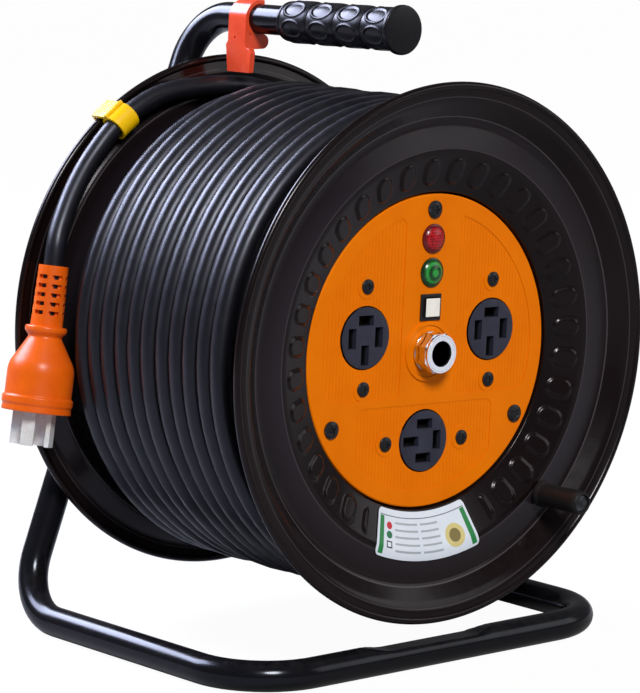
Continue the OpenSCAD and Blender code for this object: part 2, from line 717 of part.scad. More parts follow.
base_tube();
handle_tube();
right_leg();
cross_plate();
axle();
axle_rear_nut();
axle_washer();
axle_nut();
handle_grip();
reel_stop();
front_flange();
rear_flange();
drum_core();
front_bush();
rear_bush();
front_panel();
panel_screws();
outlet_left();
outlet_right();
outlet_bottom();
outlet_left_contacts();
outlet_right_contacts();
outlet_bottom_contacts();
outlet_screws();
red_lens();
green_lens();
lamp_holders();
button_bezel();
reset_button();
breaker_body();
cord_gland();
inner_cord();
inner_leads();
rating_label();
knob_bolt();
knob_nut();
winding_knob();
cord_core();
cord_winding();
cord_tail();
cord_clip();
plug_relief();
plug_body();
plug_blades();
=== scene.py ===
import math

import bpy
from mathutils import Matrix, Vector


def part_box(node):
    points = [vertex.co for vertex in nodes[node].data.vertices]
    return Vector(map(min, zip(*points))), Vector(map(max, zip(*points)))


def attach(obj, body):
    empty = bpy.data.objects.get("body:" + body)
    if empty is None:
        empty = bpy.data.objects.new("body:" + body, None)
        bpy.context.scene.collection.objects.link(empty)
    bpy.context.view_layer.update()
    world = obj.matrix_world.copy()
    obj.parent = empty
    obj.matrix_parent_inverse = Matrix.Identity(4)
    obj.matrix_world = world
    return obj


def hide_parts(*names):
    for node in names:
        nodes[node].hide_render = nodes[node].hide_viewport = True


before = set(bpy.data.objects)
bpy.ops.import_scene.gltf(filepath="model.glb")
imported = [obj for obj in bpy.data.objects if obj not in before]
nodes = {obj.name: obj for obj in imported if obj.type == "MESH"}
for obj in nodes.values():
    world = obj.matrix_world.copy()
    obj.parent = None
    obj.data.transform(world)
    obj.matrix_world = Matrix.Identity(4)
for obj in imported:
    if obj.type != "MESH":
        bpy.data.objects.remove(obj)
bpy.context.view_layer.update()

# Sizes below are millimetres. A place is measured from the drum's axis (x to the right, z up) and
# from the front rim (y to the back), and at() gives it in the frame's metres.
MM = 0.001
rim_low, rim_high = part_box("front_flange")
axle_height = (rim_low.z + rim_high.z) / 2


def at(x, y, z):
    return Vector((x * MM, rim_low.y + y * MM, axle_height + z * MM))


# Camera: a long lens to the left of the reel and a little above it, rolled by a degree. Its place
# is in metres in the frame.
azimuth, elevation, roll = (math.radians(angle) for angle in (-40.683, 9.373, 1.102))
towards = Vector((
    math.sin(azimuth) * math.cos(elevation),
    -math.cos(azimuth) * math.cos(elevation),
    math.sin(elevation),
))
right = Vector((0, 0, 1)).cross(towards).normalized()
up = towards.cross(right)
across = right * math.cos(roll) + up * math.sin(roll)
upward = up * math.cos(roll) - right * math.sin(roll)
bpy.ops.object.camera_add()
camera = bpy.context.object
camera.name = "camera"
camera.matrix_world = (
    Matrix.Translation((-1.53977, -1.78778, 0.57351))
    @ Matrix((across, upward, towards)).transposed().to_4x4()
)
camera.data.lens = 195.0
camera.data.sensor_fit = "VERTICAL"
camera.data.sensor_height = 36
camera.data.clip_end = 200
bpy.context.scene.camera = camera
bpy.context.scene.view_settings.view_transform = "Standard"


# Stage: a pale floor that runs out of view, a grey room, a sun from the front left, a cool
# softbox behind the reel and a fill from the right.
def add(tree, kind, inputs=None, **settings):
    """A shader node with its settings; an input is a value or the socket that feeds it."""
    node = tree.nodes.new("ShaderNode" + kind)
    for key, value in settings.items():
        setattr(node, key, value)
    for key, value in (inputs or {}).items():
        if isinstance(value, bpy.types.NodeSocket):
            tree.links.new(value, node.inputs[key])
        else:
            node.inputs[key].default_value = value
    return node


def mix(tree, factor, first, second):
    """The socket of two colours mixed by a factor."""
    return add(tree, "Mix", {0: factor, 6: first, 7: second}, data_type="RGBA").outputs[2]


def maths(tree, operation, first, second=0.0):
    """The socket of a sum, product or other operation on two values."""
    return add(tree, "Math", {0: first, 1: second}, operation=operation).outputs[0]


def times(tree, first, second):
    """The socket of two values multiplied."""
    return maths(tree, "MULTIPLY", first, second)


bpy.ops.mesh.primitive_plane_add(size=90)
floor = bpy.context.object
floor.name = "floor"
paper = bpy.data.materials.new("floor_paper")
paper.use_nodes = True
tree = paper.node_tree
tree.nodes.clear()
seen = add(tree, "LightPath").outputs
shown = maths(tree, "MAXIMUM", seen["Is Camera Ray"], seen["Is Transmission Ray"])
floor_look = add(tree, "MixShader", {
    0: times(tree, shown, 0.90),
    1: add(tree, "BsdfDiffuse", {"Color": (0.36, 0.36, 0.36, 1)}).outputs[0],
    2: add(tree, "Emission", {"Color": (1, 1, 1, 1), "Strength": 1.07}).outputs[0],
})
add(tree, "OutputMaterial", {"Surface": floor_look.outputs[0]})
floor.data.materials.append(paper)

room = bpy.data.worlds.new("room")
room.use_nodes = True
room.node_tree.nodes["Background"].inputs["Color"].default_value = (0.10, 0.10, 0.11, 1)
bpy.context.scene.world = room


def lamp(kind, name, place, power, colour, **settings):
    """A lamp that looks at the reel from a place in metres from the reel's middle."""
    bpy.ops.object.light_add(type=kind, location=at(0, 110, 0) + Vector(place))
    light = bpy.context.object
    light.name = name
    light.rotation_mode = "QUATERNION"
    light.rotation_quaternion = Vector(place).to_track_quat("Z", "Y")
    light.data.energy = power
    light.data.color = colour
    for key, value in settings.items():
        setattr(light.data, key, value)


lamp("SUN", "front_sun", (-1.0, -2.1, 1.9), 2.8, (1.0, 0.985, 0.96), angle=math.radians(16))
for name, place, power, colour, wide, tall in (
    ("rear_softbox", (-0.55, 1.25, 1.0), 60, (0.74, 0.78, 1.0), 1.3, 0.7),
    ("right_fill", (1.9, -1.7, 0.9), 8, (1.0, 0.98, 0.96), 1.6, 1.2),
):
    lamp("AREA", name, place, power, colour, shape="RECTANGLE", size=wide, size_y=tall)


# Wound cord: a round rubber-sheathed cord of four cores, laid turn by turn on the drum in three
# layers. The sheath is extruded, matt black, and picks up a bluish sheen.
def node_group(name, inputs, outputs):
    """An empty shader node group with named sockets, and its two end nodes."""
    tree = bpy.data.node_groups.new(name, "ShaderNodeTree")
    for label, kind, value in inputs:
        socket = tree.interface.new_socket(label, in_out="INPUT", socket_type="NodeSocket" + kind)
        socket.default_value = value
    for label, kind in outputs:
        tree.interface.new_socket(label, in_out="OUTPUT", socket_type="NodeSocket" + kind)
    return tree, tree.nodes.new("NodeGroupInput").outputs, tree.nodes.new("NodeGroupOutput").inputs


def own_place(tree):
    """The socket of a point's place in its own object."""
    return add(tree, "TexCoord").outputs["Object"]


def ramp(tree, value, low, high, first=0.0, last=1.0):
    """The socket of a value taken from one pair of limits to another, and kept inside them."""
    return add(tree, "MapRange", {0: value, 1: low, 2: high, 3: first, 4: last}).outputs[0]


WHITE = (1, 1, 1, 1)

# Cloudy change of tone over a surface.
tree, given, result = node_group(
    "mottle",
    [
        ("Colour", "Color", WHITE), ("Shade", "Color", WHITE),
        ("Size", "Float", 40.0), ("Amount", "Float", 0.5),
    ],
    [("Colour", "Color"), ("Mask", "Float")],
)
clouds = add(tree, "TexNoise", {
    "Vector": own_place(tree), "Scale": given["Size"], "Detail": 5.0, "Roughness": 0.62,
})
masked = times(tree, ramp(tree, clouds.outputs[0], 0.36, 0.66), given["Amount"])
tree.links.new(mix(tree, masked, given["Colour"], given["Shade"]), result["Colour"])
tree.links.new(masked, result["Mask"])

# Fine moulded or painted texture, as a height.
tree, given, result = node_group("grain", [("Size", "Float", 900.0)], [("Height", "Float")])
place = own_place(tree)
coarse = add(tree, "TexNoise", {"Vector": place, "Scale": given["Size"], "Detail": 2.0}).outputs[0]
finer = times(tree, given["Size"], 3.7)
fine = add(tree, "TexNoise", {"Vector": place, "Scale": finer, "Detail": 2.0}).outputs[0]
blended = maths(tree, "ADD", times(tree, coarse, 0.65), times(tree, fine, 0.35))
tree.links.new(blended, result["Height"])

# Dust that settles on faces turned upwards.
tree, given, result = node_group(
    "dust",
    [("Colour", "Color", WHITE), ("Dust", "Color", (0.35, 0.33, 0.30, 1)), ("Amount", "Float", 0.1)],
    [("Colour", "Color"), ("Mask", "Float")],
)
place = own_place(tree)
facing = add(tree, "SeparateXYZ", {0: add(tree, "NewGeometry").outputs["Normal"]}).outputs["Z"]
upturned = ramp(tree, facing, 0.1, 1.0)
specks = add(tree, "TexNoise", {"Vector": place, "Scale": 160.0, "Detail": 6.0, "Roughness": 0.7}).outputs[0]
settled = times(tree, times(tree, upturned, ramp(tree, specks, 0.4, 0.75)), given["Amount"])
tree.links.new(mix(tree, settled, given["Colour"], given["Dust"]), result["Colour"])
tree.links.new(settled, result["Mask"])

# Edges made lighter: wear from handling, and, where the amount is high as on the flanges, painted highlights
# on the edges as well.
tree, given, result = node_group(
    "worn_edges_and_glints",
    [("Colour", "Color", WHITE), ("Bare", "Color", WHITE), ("Amount", "Float", 0.3)],
    [("Colour", "Color")],
)
edge = ramp(tree, add(tree, "NewGeometry").outputs["Pointiness"], 0.53, 0.62)
patches = add(tree, "TexNoise", {"Vector": own_place(tree), "Scale": 120.0, "Detail": 4.0}).outputs[0]
rubbed = times(tree, times(tree, edge, ramp(tree, patches, 0.42, 0.6)), given["Amount"])
tree.links.new(mix(tree, rubbed, given["Colour"], given["Bare"]), result["Colour"])


def rgb(red, green, blue):
    """A display colour of 0 to 255 as the linear colour that shaders take."""
    values = [v / 255 for v in (red, green, blue)]
    linear = [v / 12.92 if v <= 0.04045 else ((v + 0.055) / 1.055) ** 2.4 for v in values]
    return (*linear, 1)


def use(tree, group, inputs):
    """The outputs of one of the node groups above."""
    return add(tree, "Group", inputs, node_tree=bpy.data.node_groups[group]).outputs


def new_material(name):
    """An empty material, its nodes and its shader."""
    material = bpy.data.materials.new(name)
    material.use_nodes = True
    return material, material.node_tree, material.node_tree.nodes["Principled BSDF"]


def surface(name, colour, shade, roughness, spread=0.1, size=40, grain=900, depth=0.02,
            bare=None, rub=0.0, dust=0.0, **constants):
    """A material whose tone, gloss, relief, edges and dust all vary over the surface."""
    material, tree, shader = new_material(name)
    tone = use(tree, "mottle", {"Colour": colour, "Shade": shade, "Size": float(size), "Amount": 1.0})
    worn = use(tree, "worn_edges_and_glints", {"Colour": tone["Colour"], "Bare": bare or shade, "Amount": rub})
    dusty = use(tree, "dust", {"Colour": worn["Colour"], "Amount": dust})
    tree.links.new(dusty["Colour"], shader.inputs["Base Color"])
    smoothest, roughest = max(roughness - spread / 2, 0.02), roughness + spread / 2
    gloss = ramp(tree, tone["Mask"], 0.0, 1.0, smoothest, roughest)
    dulled = maths(tree, "ADD", gloss, times(tree, dusty["Mask"], 0.5))
    tree.links.new(dulled, shader.inputs["Roughness"])
    height = use(tree, "grain", {"Size": float(grain)})["Height"]
    relief = add(tree, "Bump", {"Height": height, "Strength": 0.5, "Distance": depth * MM})
    tree.links.new(relief.outputs[0], shader.inputs["Normal"])
    for key, value in constants.items():
        shader.inputs[key.replace("_", " ")].default_value = value
    return material


def place_piece(piece, body, replaced, material):
    """Gives a finished piece its material, its body and the solids it stands for."""
    piece.data.materials.clear()
    piece.data.materials.append(material)
    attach(piece, body)
    if replaced:
        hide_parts(*replaced)
    return piece


def only(piece):
    """Selects one piece alone and makes it the active one."""
    bpy.ops.object.select_all(action="DESELECT")
    piece.select_set(True)
    bpy.context.view_layer.objects.active = piece


def new_piece(name, data):
    """A piece made of a curve or a mesh, put in the scene and selected."""
    piece = bpy.data.objects.new(name, data)
    bpy.context.scene.collection.objects.link(piece)
    only(piece)
    return piece


def swept(name, line, diameter, sides=14):
    """A round tube along a line of places, closed at both ends."""
    curve = bpy.data.curves.new(name, "CURVE")
    curve.dimensions = "3D"
    curve.bevel_depth = diameter / 2 * MM
    curve.bevel_resolution = (sides - 4) // 2
    curve.use_fill_caps = True
    spline = curve.splines.new("POLY")
    spline.points.add(len(line) - 1)
    for point, place in zip(spline.points, line):
        point.co = (*place, 1)
    new_piece(name, curve)
    bpy.ops.object.convert(target="MESH")
    piece = bpy.context.object
    piece.name = piece.data.name = name
    bpy.ops.object.mode_set(mode="EDIT")
    bpy.ops.mesh.select_all(action="SELECT")
    bpy.ops.mesh.remove_doubles(threshold=1e-6)
    bpy.ops.mesh.normals_make_consistent(inside=False)
    bpy.ops.object.mode_set(mode="OBJECT")
    bpy.ops.object.shade_smooth_by_angle(angle=math.radians(40))
    return piece


def round_drum(angle, radius, y):
    """A place by its angle to the left of the top, seen from the front."""
    a = math.radians(angle)
    return at(-radius * math.sin(a), y, radius * math.cos(a))


cord_d = 13
turn_pitch = 13.45
layer_radii = (121.4, 134.7, 148)
front_turn, rear_turn = 37, 153
outer_turns, outer_start = 10.6, 150
inner_turns = (rear_turn - front_turn) / turn_pitch
climb = 0.5
dip_turns, dip_depth = 0.45, 7
sink_turns, sink_depth = 0.14, 19
steps_in_turn = 72


def climbing(turn, layer):
    """Radius of the cord where it climbs from a layer to the next one."""
    ease = (1 - math.cos(math.pi * (turn + climb) / climb)) / 2
    return layer_radii[layer] + ease * (layer_radii[layer + 1] - layer_radii[layer])


def laid(turn):
    """Radius and depth of the cord, by turns counted from where the outer layer starts."""
    if turn >= 0:
        sunk = max(0, turn - outer_turns) / sink_turns
        dip = dip_depth * min(1, max(0, 1 - (outer_turns - turn) / dip_turns)) ** 1.2
        return layer_radii[2] - dip - sink_depth * sunk ** 2, front_turn + turn_pitch * min(turn, outer_turns)
    if turn >= -climb:
        return climbing(turn, 1), front_turn
    turn += climb + inner_turns
    if turn >= 0:
        return layer_radii[1], rear_turn - turn_pitch * turn
    if turn >= -climb:
        return climbing(turn, 0), rear_turn
    return layer_radii[0], rear_turn + turn_pitch * (turn + climb)


wound_line = []
all_turns = 2 * (inner_turns + climb) + outer_turns + sink_turns
for step in range(round(all_turns * steps_in_turn) + 1):
    turn = step / steps_in_turn - 2 * (inner_turns + climb)
    radius, y = laid(turn)
    # The turns wander a little, as laid by hand.
    lay = 0.40 * math.sin(4.1 * turn) + 0.25 * math.sin(11.3 * turn + 0.7)
    drift = 0.14 * math.sin(7.7 * turn)
    wound_line.append(round_drum(outer_start - 360 * turn, radius + lay, y + drift))
cord_rubber = surface(
    "cord_rubber", rgb(18, 18, 23), rgb(14, 14, 18), 0.38, size=70, grain=700,
    dust=0.03, Specular_IOR_Level=0.48, Specular_Tint=(0.80, 0.83, 1.0, 1),
)
wound_cord = place_piece(
    swept("wound_cord", wound_line, cord_d),
    "drum", ("cord_core", "cord_winding"), cord_rubber,
)


# Free end of the cord: the last two thirds of a metre lie in the groove behind the winding, come up
# over the top and pass through the clip to the plug. It has the same rubber sheath.
def smooth_line(points, steps):
    """A smooth line through places, as in the solid it stands for."""
    line = []
    for i in range(len(points) - 1):
        a, b = points[max(i - 1, 0)], points[i]
        c, d = points[i + 1], points[min(i + 2, len(points) - 1)]
        for j in range(steps):
            t = j / steps
            line.append(0.5 * (
                2 * b + (c - a) * t + (2 * a - 5 * b + 4 * c - d) * t ** 2 + (3 * b - a - 3 * c + d) * t ** 3
            ))
    return line + [points[-1]]


flange_r = 168
plug_tilt, plug_turn = math.radians(169.3), math.radians(195.3)
plug_way = Vector((
    math.sin(plug_tilt) * math.cos(plug_turn),
    math.sin(plug_tilt) * math.sin(plug_turn),
    math.cos(plug_tilt),
))
plug_start = round_drum(74.2, flange_r - 6.7, 197)
tail_route = (
    (-212, 45, 201), (-188, 45, 201), (-164, 45, 201), (-140, 45, 201), (-116, 45, 201), (-92, 45, 201),
    (-70, 44, 201), (-50, 41, 200.5), (-32, 35, 200.5), (-16, 26, 201), (-2, 20, 202), (12, 15, 204.6),
    (24, 9, 208), (36, 7, 208.5), (47, 8, 208.3), (56.4, 7.2, 205.2), (65, 5.4, 200.4),
)
tail_points = [round_drum(angle, flange_r - inside, y) for angle, inside, y in tail_route]
tail_points += [plug_start - cord_d * MM * plug_way, plug_start]
tail_line = smooth_line(tail_points, 8)
cord_end = place_piece(
    swept("cord_end_run", tail_line, cord_d, 20), "cord_end", ("cord_tail",), cord_rubber
)


# Stand: one length of 19 mm steel tube, bent into the base, the left leg and the handle, sprayed
# gloss black. The right leg ends on the left one and is welded there.
def bent_line(corners, radii, step=5, bend_steps=16):
    """Places along straight runs that are joined by round bends."""
    line = []
    start = corners[0]
    for corner, after, radius in zip(corners[1:], corners[2:], radii):
        into, out = (corner - start).normalized(), (after - corner).normalized()
        turn = into.angle(out)
        bend_start = corner - into * radius * MM * math.tan(turn / 2)
        run = max(2, round((bend_start - start).length / (step * MM)))
        line += [start.lerp(bend_start, i / run) for i in range(run)]
        side = (out - into * into.dot(out)).normalized()
        centre = bend_start + side * radius * MM
        angles = [turn * i / bend_steps for i in range(bend_steps)]
        line += [centre + radius * MM * (into * math.sin(a) - side * math.cos(a)) for a in angles]
        start = corner + out * radius * MM * math.tan(turn / 2)
    run = max(2, round((corners[-1] - start).length / (step * MM)))
    return line + [start.lerp(corners[-1], i / run) for i in range(run + 1)]


tube_d = 19.1
tube_r = tube_d / 2
base_z, front_y, foot_y, apex_y, handle_front = -185.2, 3.6, 238, 249, 53.4
grip_mid, handle_z, handle_tilt = 102, 194.8, math.radians(1.2)
tilt_handle = (
    Matrix.Translation(at(0, grip_mid, handle_z)) @ Matrix.Rotation(-handle_tilt, 4, "X")
    @ Matrix.Translation(-at(0, grip_mid, handle_z))
)


def on_handle(y):
    """A place on the tilted middle line of the handle."""
    return at(0, y, handle_z + (grip_mid - y) * math.tan(handle_tilt))


base_half = 150
left_foot, right_foot = at(-base_half, foot_y, base_z), at(base_half, foot_y, base_z)
left_front, right_front = at(-base_half, front_y, base_z), at(base_half, front_y, base_z)
apex = on_handle(apex_y)
weld_z = 142
weld = left_foot.lerp(apex, (at(0, 0, weld_z).z - left_foot.z) / (apex.z - left_foot.z))
stand_line = bent_line(
    [on_handle(handle_front), apex, left_foot, left_front, right_front, right_foot, weld],
    [32, 40, 48, 48, 40],
)
stand = swept("stand_tube", stand_line, tube_d, 32)
dent_mid, dent_half, dent_ramp, dent_depth = -8, 37, 16, 3.6
for vertex in stand.data.vertices:
    from_front = (vertex.co - at(dent_mid, front_y, base_z)) / MM
    if abs(from_front.y) < tube_r + 1 and abs(from_front.x) < dent_half + dent_ramp:
        pressed = min(1, (dent_half + dent_ramp - abs(from_front.x)) / dent_ramp)
        flat = tube_r - dent_depth * pressed
        if from_front.z > flat:
            vertex.co.z -= (from_front.z - flat) * MM
tube_paint = surface(
    "gloss_black_paint", rgb(14, 14, 18), rgb(10, 10, 13), 0.20, spread=0.08, size=26, grain=260, depth=0.03,
    bare=rgb(70, 64, 58), rub=0.25, dust=0.03, Specular_IOR_Level=0.28, Specular_Tint=(0.80, 0.86, 1.0, 1),
    Coat_Weight=0.05, Coat_Roughness=0.06,
)
place_piece(stand, "stand", ("base_tube", "handle_tube", "right_leg"), tube_paint)

# Weld bead: a rippled fillet of steel round the seam where the right leg meets the left one,
# painted with the tube.
right_way = (weld - right_foot).normalized()
left_way = (apex - left_foot).normalized()
round_leg = right_way.orthogonal().normalized()
over_leg = right_way.cross(round_leg)
bead_d, bead_steps, ripples, ripple_height = 3.4, 72, 18, 0.4
seam = []
for i in range(bead_steps + 1):
    a = math.tau * i / bead_steps
    rim = (round_leg * math.cos(a) + over_leg * math.sin(a)) * tube_r * MM
    low, high = 0.0, 60 * MM
    for _ in range(40):
        back = (low + high) / 2
        from_left = weld + rim - right_way * back - left_foot
        if (from_left - left_way * from_left.dot(left_way)).length < tube_r * MM:
            low = back
        else:
            high = back
    seam.append(weld + rim - right_way * (low + ripple_height * MM * math.sin(ripples * a)))
bead = swept("weld_bead", seam, bead_d, 12)
place_piece(bead, "stand", (), tube_paint)


# Cross plate: a steel plate between the legs with a sleeve for the axle, cut from flat bar, welded
# in and painted with the tube.
def eased_copy(node, ease, segments=2, angle=32):
    """A copy of a solid's mesh with its sharp edges rounded off."""
    piece = new_piece(node + "_dressed", nodes[node].data.copy())
    piece.data.name = piece.name
    bpy.ops.mesh.customdata_custom_splitnormals_clear()
    merge_faces(piece)
    ease_edges(piece, ease, segments, angle)
    return piece


def merge_faces(piece):
    """Merges a piece's double points and flat faces, and turns its faces outwards."""
    only(piece)
    bpy.ops.object.mode_set(mode="EDIT")
    bpy.ops.mesh.select_all(action="SELECT")
    bpy.ops.mesh.remove_doubles(threshold=1e-6)
    bpy.ops.mesh.dissolve_degenerate(threshold=1e-6)
    bpy.ops.mesh.dissolve_limited(angle_limit=math.radians(0.5))
    bpy.ops.mesh.normals_make_consistent(inside=False)
    bpy.ops.object.mode_set(mode="OBJECT")


def ease_edges(piece, ease, segments=2, angle=32):
    """Rounds a piece's sharp edges and smooths its shading."""
    only(piece)
    bevel = piece.modifiers.new("eased", "BEVEL")
    bevel.width = ease * MM
    bevel.segments = segments
    bevel.limit_method = "ANGLE"
    bevel.angle_limit = math.radians(angle)
    bpy.ops.object.modifier_apply(modifier="eased")
    bpy.ops.object.shade_smooth_by_angle(angle=math.radians(angle))
    even = piece.modifiers.new("even", "WEIGHTED_NORMAL")
    even.keep_sharp = True
    bpy.ops.object.modifier_apply(modifier="even")


def dressed(node, body, material, ease, segments=2, angle=32):
    """An eased copy of a solid that takes the solid's place."""
    return place_piece(eased_copy(node, ease, segments, angle), body, (node,), material)


dressed("cross_plate", "stand", tube_paint, 0.5)

# Axle: a zinc-plated pipe through the sleeve, with a hexagon nut behind, and a washer and a bright
# octagonal nut in front that hold the drum on. Faces turned to the front, except the washer's, get a
# brighter, less metallic zinc as a painted highlight, and the inside of the bore is a dark painted shade.
zinc = surface(
    "bright_zinc", rgb(232, 237, 246), rgb(204, 210, 222), 0.13, size=150, grain=1600,
    depth=0.01, bare=rgb(246, 248, 252), rub=0.4, dust=0.02, Metallic=1.0,
)
# The inside of the bore gets a near-black finish, a painted shade in the long pipe.
bore_painted_shade = surface(
    "bore_painted_shade", rgb(24, 23, 23), rgb(16, 15, 15), 0.6, spread=0.2, size=90, grain=700, depth=0.05,
    bare=rgb(60, 56, 52), rub=0.3, Specular_IOR_Level=0.3,
)
# Faces turned to the front get this brighter, less metallic zinc: a painted highlight.
zinc_painted_bright = surface(
    "zinc_painted_bright", rgb(240, 245, 255), rgb(226, 232, 248), 0.30, spread=0.12, size=150, grain=1600, depth=0.01,
    bare=rgb(246, 248, 252), rub=0.4, dust=0.02, Metallic=0.2,
)
bore_r, collar_r, corner_scale = 8.05, 12.2, 0.93
for node, ease in (("axle", 0.12), ("axle_rear_nut", 0.6), ("axle_washer", 0.2), ("axle_nut", 0.3)):
    piece = dressed(node, "stand", zinc, ease, 3)
    piece.data.materials.append(bore_painted_shade)
    piece.data.materials.append(zinc_painted_bright)
    for face in piece.data.polygons:
        corners = [(piece.data.vertices[i].co - at(0, 0, 0)) / MM for i in face.vertices]
        if face.normal.y < -0.3 and node != "axle_washer":
            face.material_index = 2
        elif max(math.hypot(corner.x, corner.z) for corner in corners) < bore_r + 0.1:
            face.material_index = 1
    if node in ("axle_nut", "axle_washer"):
        for vertex in piece.data.vertices:
            from_axis = vertex.co - at(0, 0, 0)
            if math.hypot(from_axis.x, from_axis.z) > collar_r * MM:
                vertex.co.x -= (1 - corner_scale) * from_axis.x
                vertex.co.z -= (1 - corner_scale) * from_axis.z


# Grip: a soft black moulding pushed on the handle, with four lobes, fine rings between them, large
# oval dimples with raised rims round each lobe, and a closed end cap.
def spun(name, profile, centre=(0, 0), steps=96, smooth=35):
    """A profile of radius and depth turned about an axis that runs front to back."""
    first = at(centre[0], profile[0][1], centre[1] + profile[0][0])
    bpy.ops.object.select_all(action="DESELECT")
    bpy.ops.mesh.primitive_plane_add(size=MM, location=first)
    piece = bpy.context.object
    piece.name = piece.data.name = name
    bpy.ops.object.mode_set(mode="EDIT")
    bpy.ops.mesh.merge(type="CENTER")
    for (r0, y0), (r1, y1) in zip(profile, profile[1:]):
        step = (0, (y1 - y0) * MM, (r1 - r0) * MM)
        bpy.ops.mesh.extrude_region_move(TRANSFORM_OT_translate={"value": step})
    bpy.ops.mesh.select_all(action="SELECT")
    bpy.ops.mesh.spin(steps=steps, angle=math.tau, center=at(centre[0], 0, centre[1]), axis=(0, 1, 0))
    bpy.ops.mesh.select_all(action="SELECT")
    bpy.ops.mesh.remove_doubles(threshold=2e-6)
    bpy.ops.mesh.normals_make_consistent(inside=False)
    bpy.ops.object.mode_set(mode="OBJECT")
    bpy.ops.object.transform_apply()
    bpy.ops.object.shade_smooth_by_angle(angle=math.radians(smooth))
    return piece


def filleted(corners, steps=4):
    """A profile's corners, each a radius, a depth and the fillet that rounds it."""
    line = []
    for i, (r, y, fillet) in enumerate(corners):
        corner = Vector((r, y))
        if fillet == 0 or i in (0, len(corners) - 1):
            line.append((r, y))
            continue
        before = Vector(corners[i - 1][:2]) - corner
        after = Vector(corners[i + 1][:2]) - corner
        reach = min(fillet, before.length * 0.48, after.length * 0.48)
        a, c = corner + before.normalized() * reach, corner + after.normalized() * reach
        for j in range(steps + 1):
            t = j / steps
            line.append(tuple(a * (1 - t) ** 2 + corner * 2 * t * (1 - t) + c * t ** 2))
    return line


grip_front, grip_back, cap_r = 48.2, 155.8, 15.5
lobe_start, lobe_pitch, valley_r, lobe_r = 49.8, 26, 12.2, 13.75
lobe_end = lobe_start + 4 * lobe_pitch
lobe_steps, ring_rise, ring_half = 104, 0.55, 0.55
lobes = []
for i in range(lobe_steps // 8, 4 * lobe_steps):
    y = lobe_start + lobe_pitch * i / lobe_steps
    from_border = abs((y - lobe_start + lobe_pitch / 2) % lobe_pitch - lobe_pitch / 2)
    swell = abs(math.sin(math.pi * (y - lobe_start) / lobe_pitch)) ** 0.5
    fine_ring = ring_rise * math.exp(-((from_border / ring_half) ** 4))
    lobes.append((valley_r + (lobe_r - valley_r) * swell + fine_ring, y))
end_cap = filleted([
    (0, grip_front, 0), (cap_r, grip_front, 1.3), (cap_r, grip_front + 3.2, 0.9), (13, grip_front + 4.1, 0.4),
    lobes[0] + (0,),
])
cuff = filleted([
    (12.4, lobe_end, 0), (12.8, lobe_end + 0.4, 0.3), (12.8, grip_back, 0.8), (9.62, grip_back, 0),
])
grip = spun("handle_grip_dressed", end_cap + lobes[1:] + cuff, (0, handle_z), 160)
oval_half_length, oval_half_width, rim_rise, dimple_depth = 9.2, 5.7, 0.4, 0.55
oval_step, first_oval = 60, 47
for vertex in grip.data.vertices:
    from_axis = (vertex.co - at(0, 0, handle_z)) / MM
    out = Vector((from_axis.x, 0, from_axis.z))
    if lobe_start + 2 < from_axis.y < lobe_end and out.length > 1:
        angle = math.degrees(math.atan2(-out.x, out.z))
        along = (from_axis.y - lobe_start) % lobe_pitch - lobe_pitch / 2
        gap = (angle - first_oval + oval_step / 2) % oval_step - oval_step / 2
        oval = math.hypot(along / oval_half_length, math.radians(gap) * lobe_r / oval_half_width)
        sunk = min(1, max(0, (0.96 - oval) / 0.14))
        rise = rim_rise * math.exp(-(((oval - 1) / 0.10) ** 2)) - dimple_depth * sunk * sunk * (3 - 2 * sunk)
        vertex.co += out.normalized() * rise * MM
grip.data.transform(tilt_handle)
grip_rubber = surface(
    "grip_rubber", rgb(16, 16, 19), rgb(12, 12, 14), 0.30, size=80, grain=1400, depth=0.03,
    bare=rgb(50, 50, 56), rub=0.2, dust=0.04, Specular_IOR_Level=0.36, Specular_Tint=(0.86, 0.87, 1.0, 1),
)
place_piece(grip, "stand", ("handle_grip",), grip_rubber)


# Reel stop: a glossy coral moulding that snaps over the handle tube and swings its tongue between
# the flanges; a small gate mark shows on its side.
def carve(piece, tool, operation):
    """Cuts one piece with another, or keeps what the two share."""
    cut = piece.modifiers.new("cut", "BOOLEAN")
    cut.object = tool
    cut.operation = operation
    cut.solver = "EXACT"
    only(piece)
    bpy.ops.object.modifier_apply(modifier="cut")


stop = eased_copy("reel_stop", 0.9, 3)
gate_r, gate_at = 1.3, at(-13.1, 196.2, 180.6)
bpy.ops.mesh.primitive_uv_sphere_add(segments=16, ring_count=8, radius=gate_r * MM, location=gate_at)
gate = bpy.context.object
carve(stop, gate, "DIFFERENCE")
bpy.data.objects.remove(gate)
coral = surface(
    "coral_plastic", rgb(230, 80, 46), rgb(218, 68, 36), 0.24, spread=0.06, size=60, grain=1200, depth=0.015,
    bare=rgb(255, 120, 96), rub=0.3, dust=0.03, Subsurface_Weight=0.06, Subsurface_Scale=0.002,
)
place_piece(stop, "reel_stop", ("reel_stop",), coral)


# Flanges: two discs pressed from sheet steel with a rolled rim, a dish, a shallow band and a ring of
# raised ovals on the cone, sprayed gloss brown-black. A greyer tone over the band, fading outwards, is a
# painted reflection, and thin lighter lines on the band's edges and near the rim are painted highlights.
# The front one stops at the panel's seat.
def sheet_face(points, cone_steps=24):
    """The profile of one face of the sheet, close enough together on the cone for the ovals."""
    line = filleted(points)
    finer = []
    for a, b in zip(line, line[1:]):
        a, b = Vector(a), Vector(b)
        parts = cone_steps if (b - a).length > 15 and 100 < min(a.x, b.x) else 1
        finer += [tuple(a.lerp(b, i / parts)) for i in range(parts)]
    return finer + [line[-1]]


cone_in, cone_out = (102, 17.2), (123, 9.2)
sheet_shift = (0.98, 1.4)
bead_r, roll_from, roll_to = 2.4, 206, 514
oval_count, oval_length, oval_width, oval_rise, oval_edge = 36, 17, 11, 1.2, 1.1
band_in, band_out = 126.6, 146
label_gap = 26
panel_turn = 2


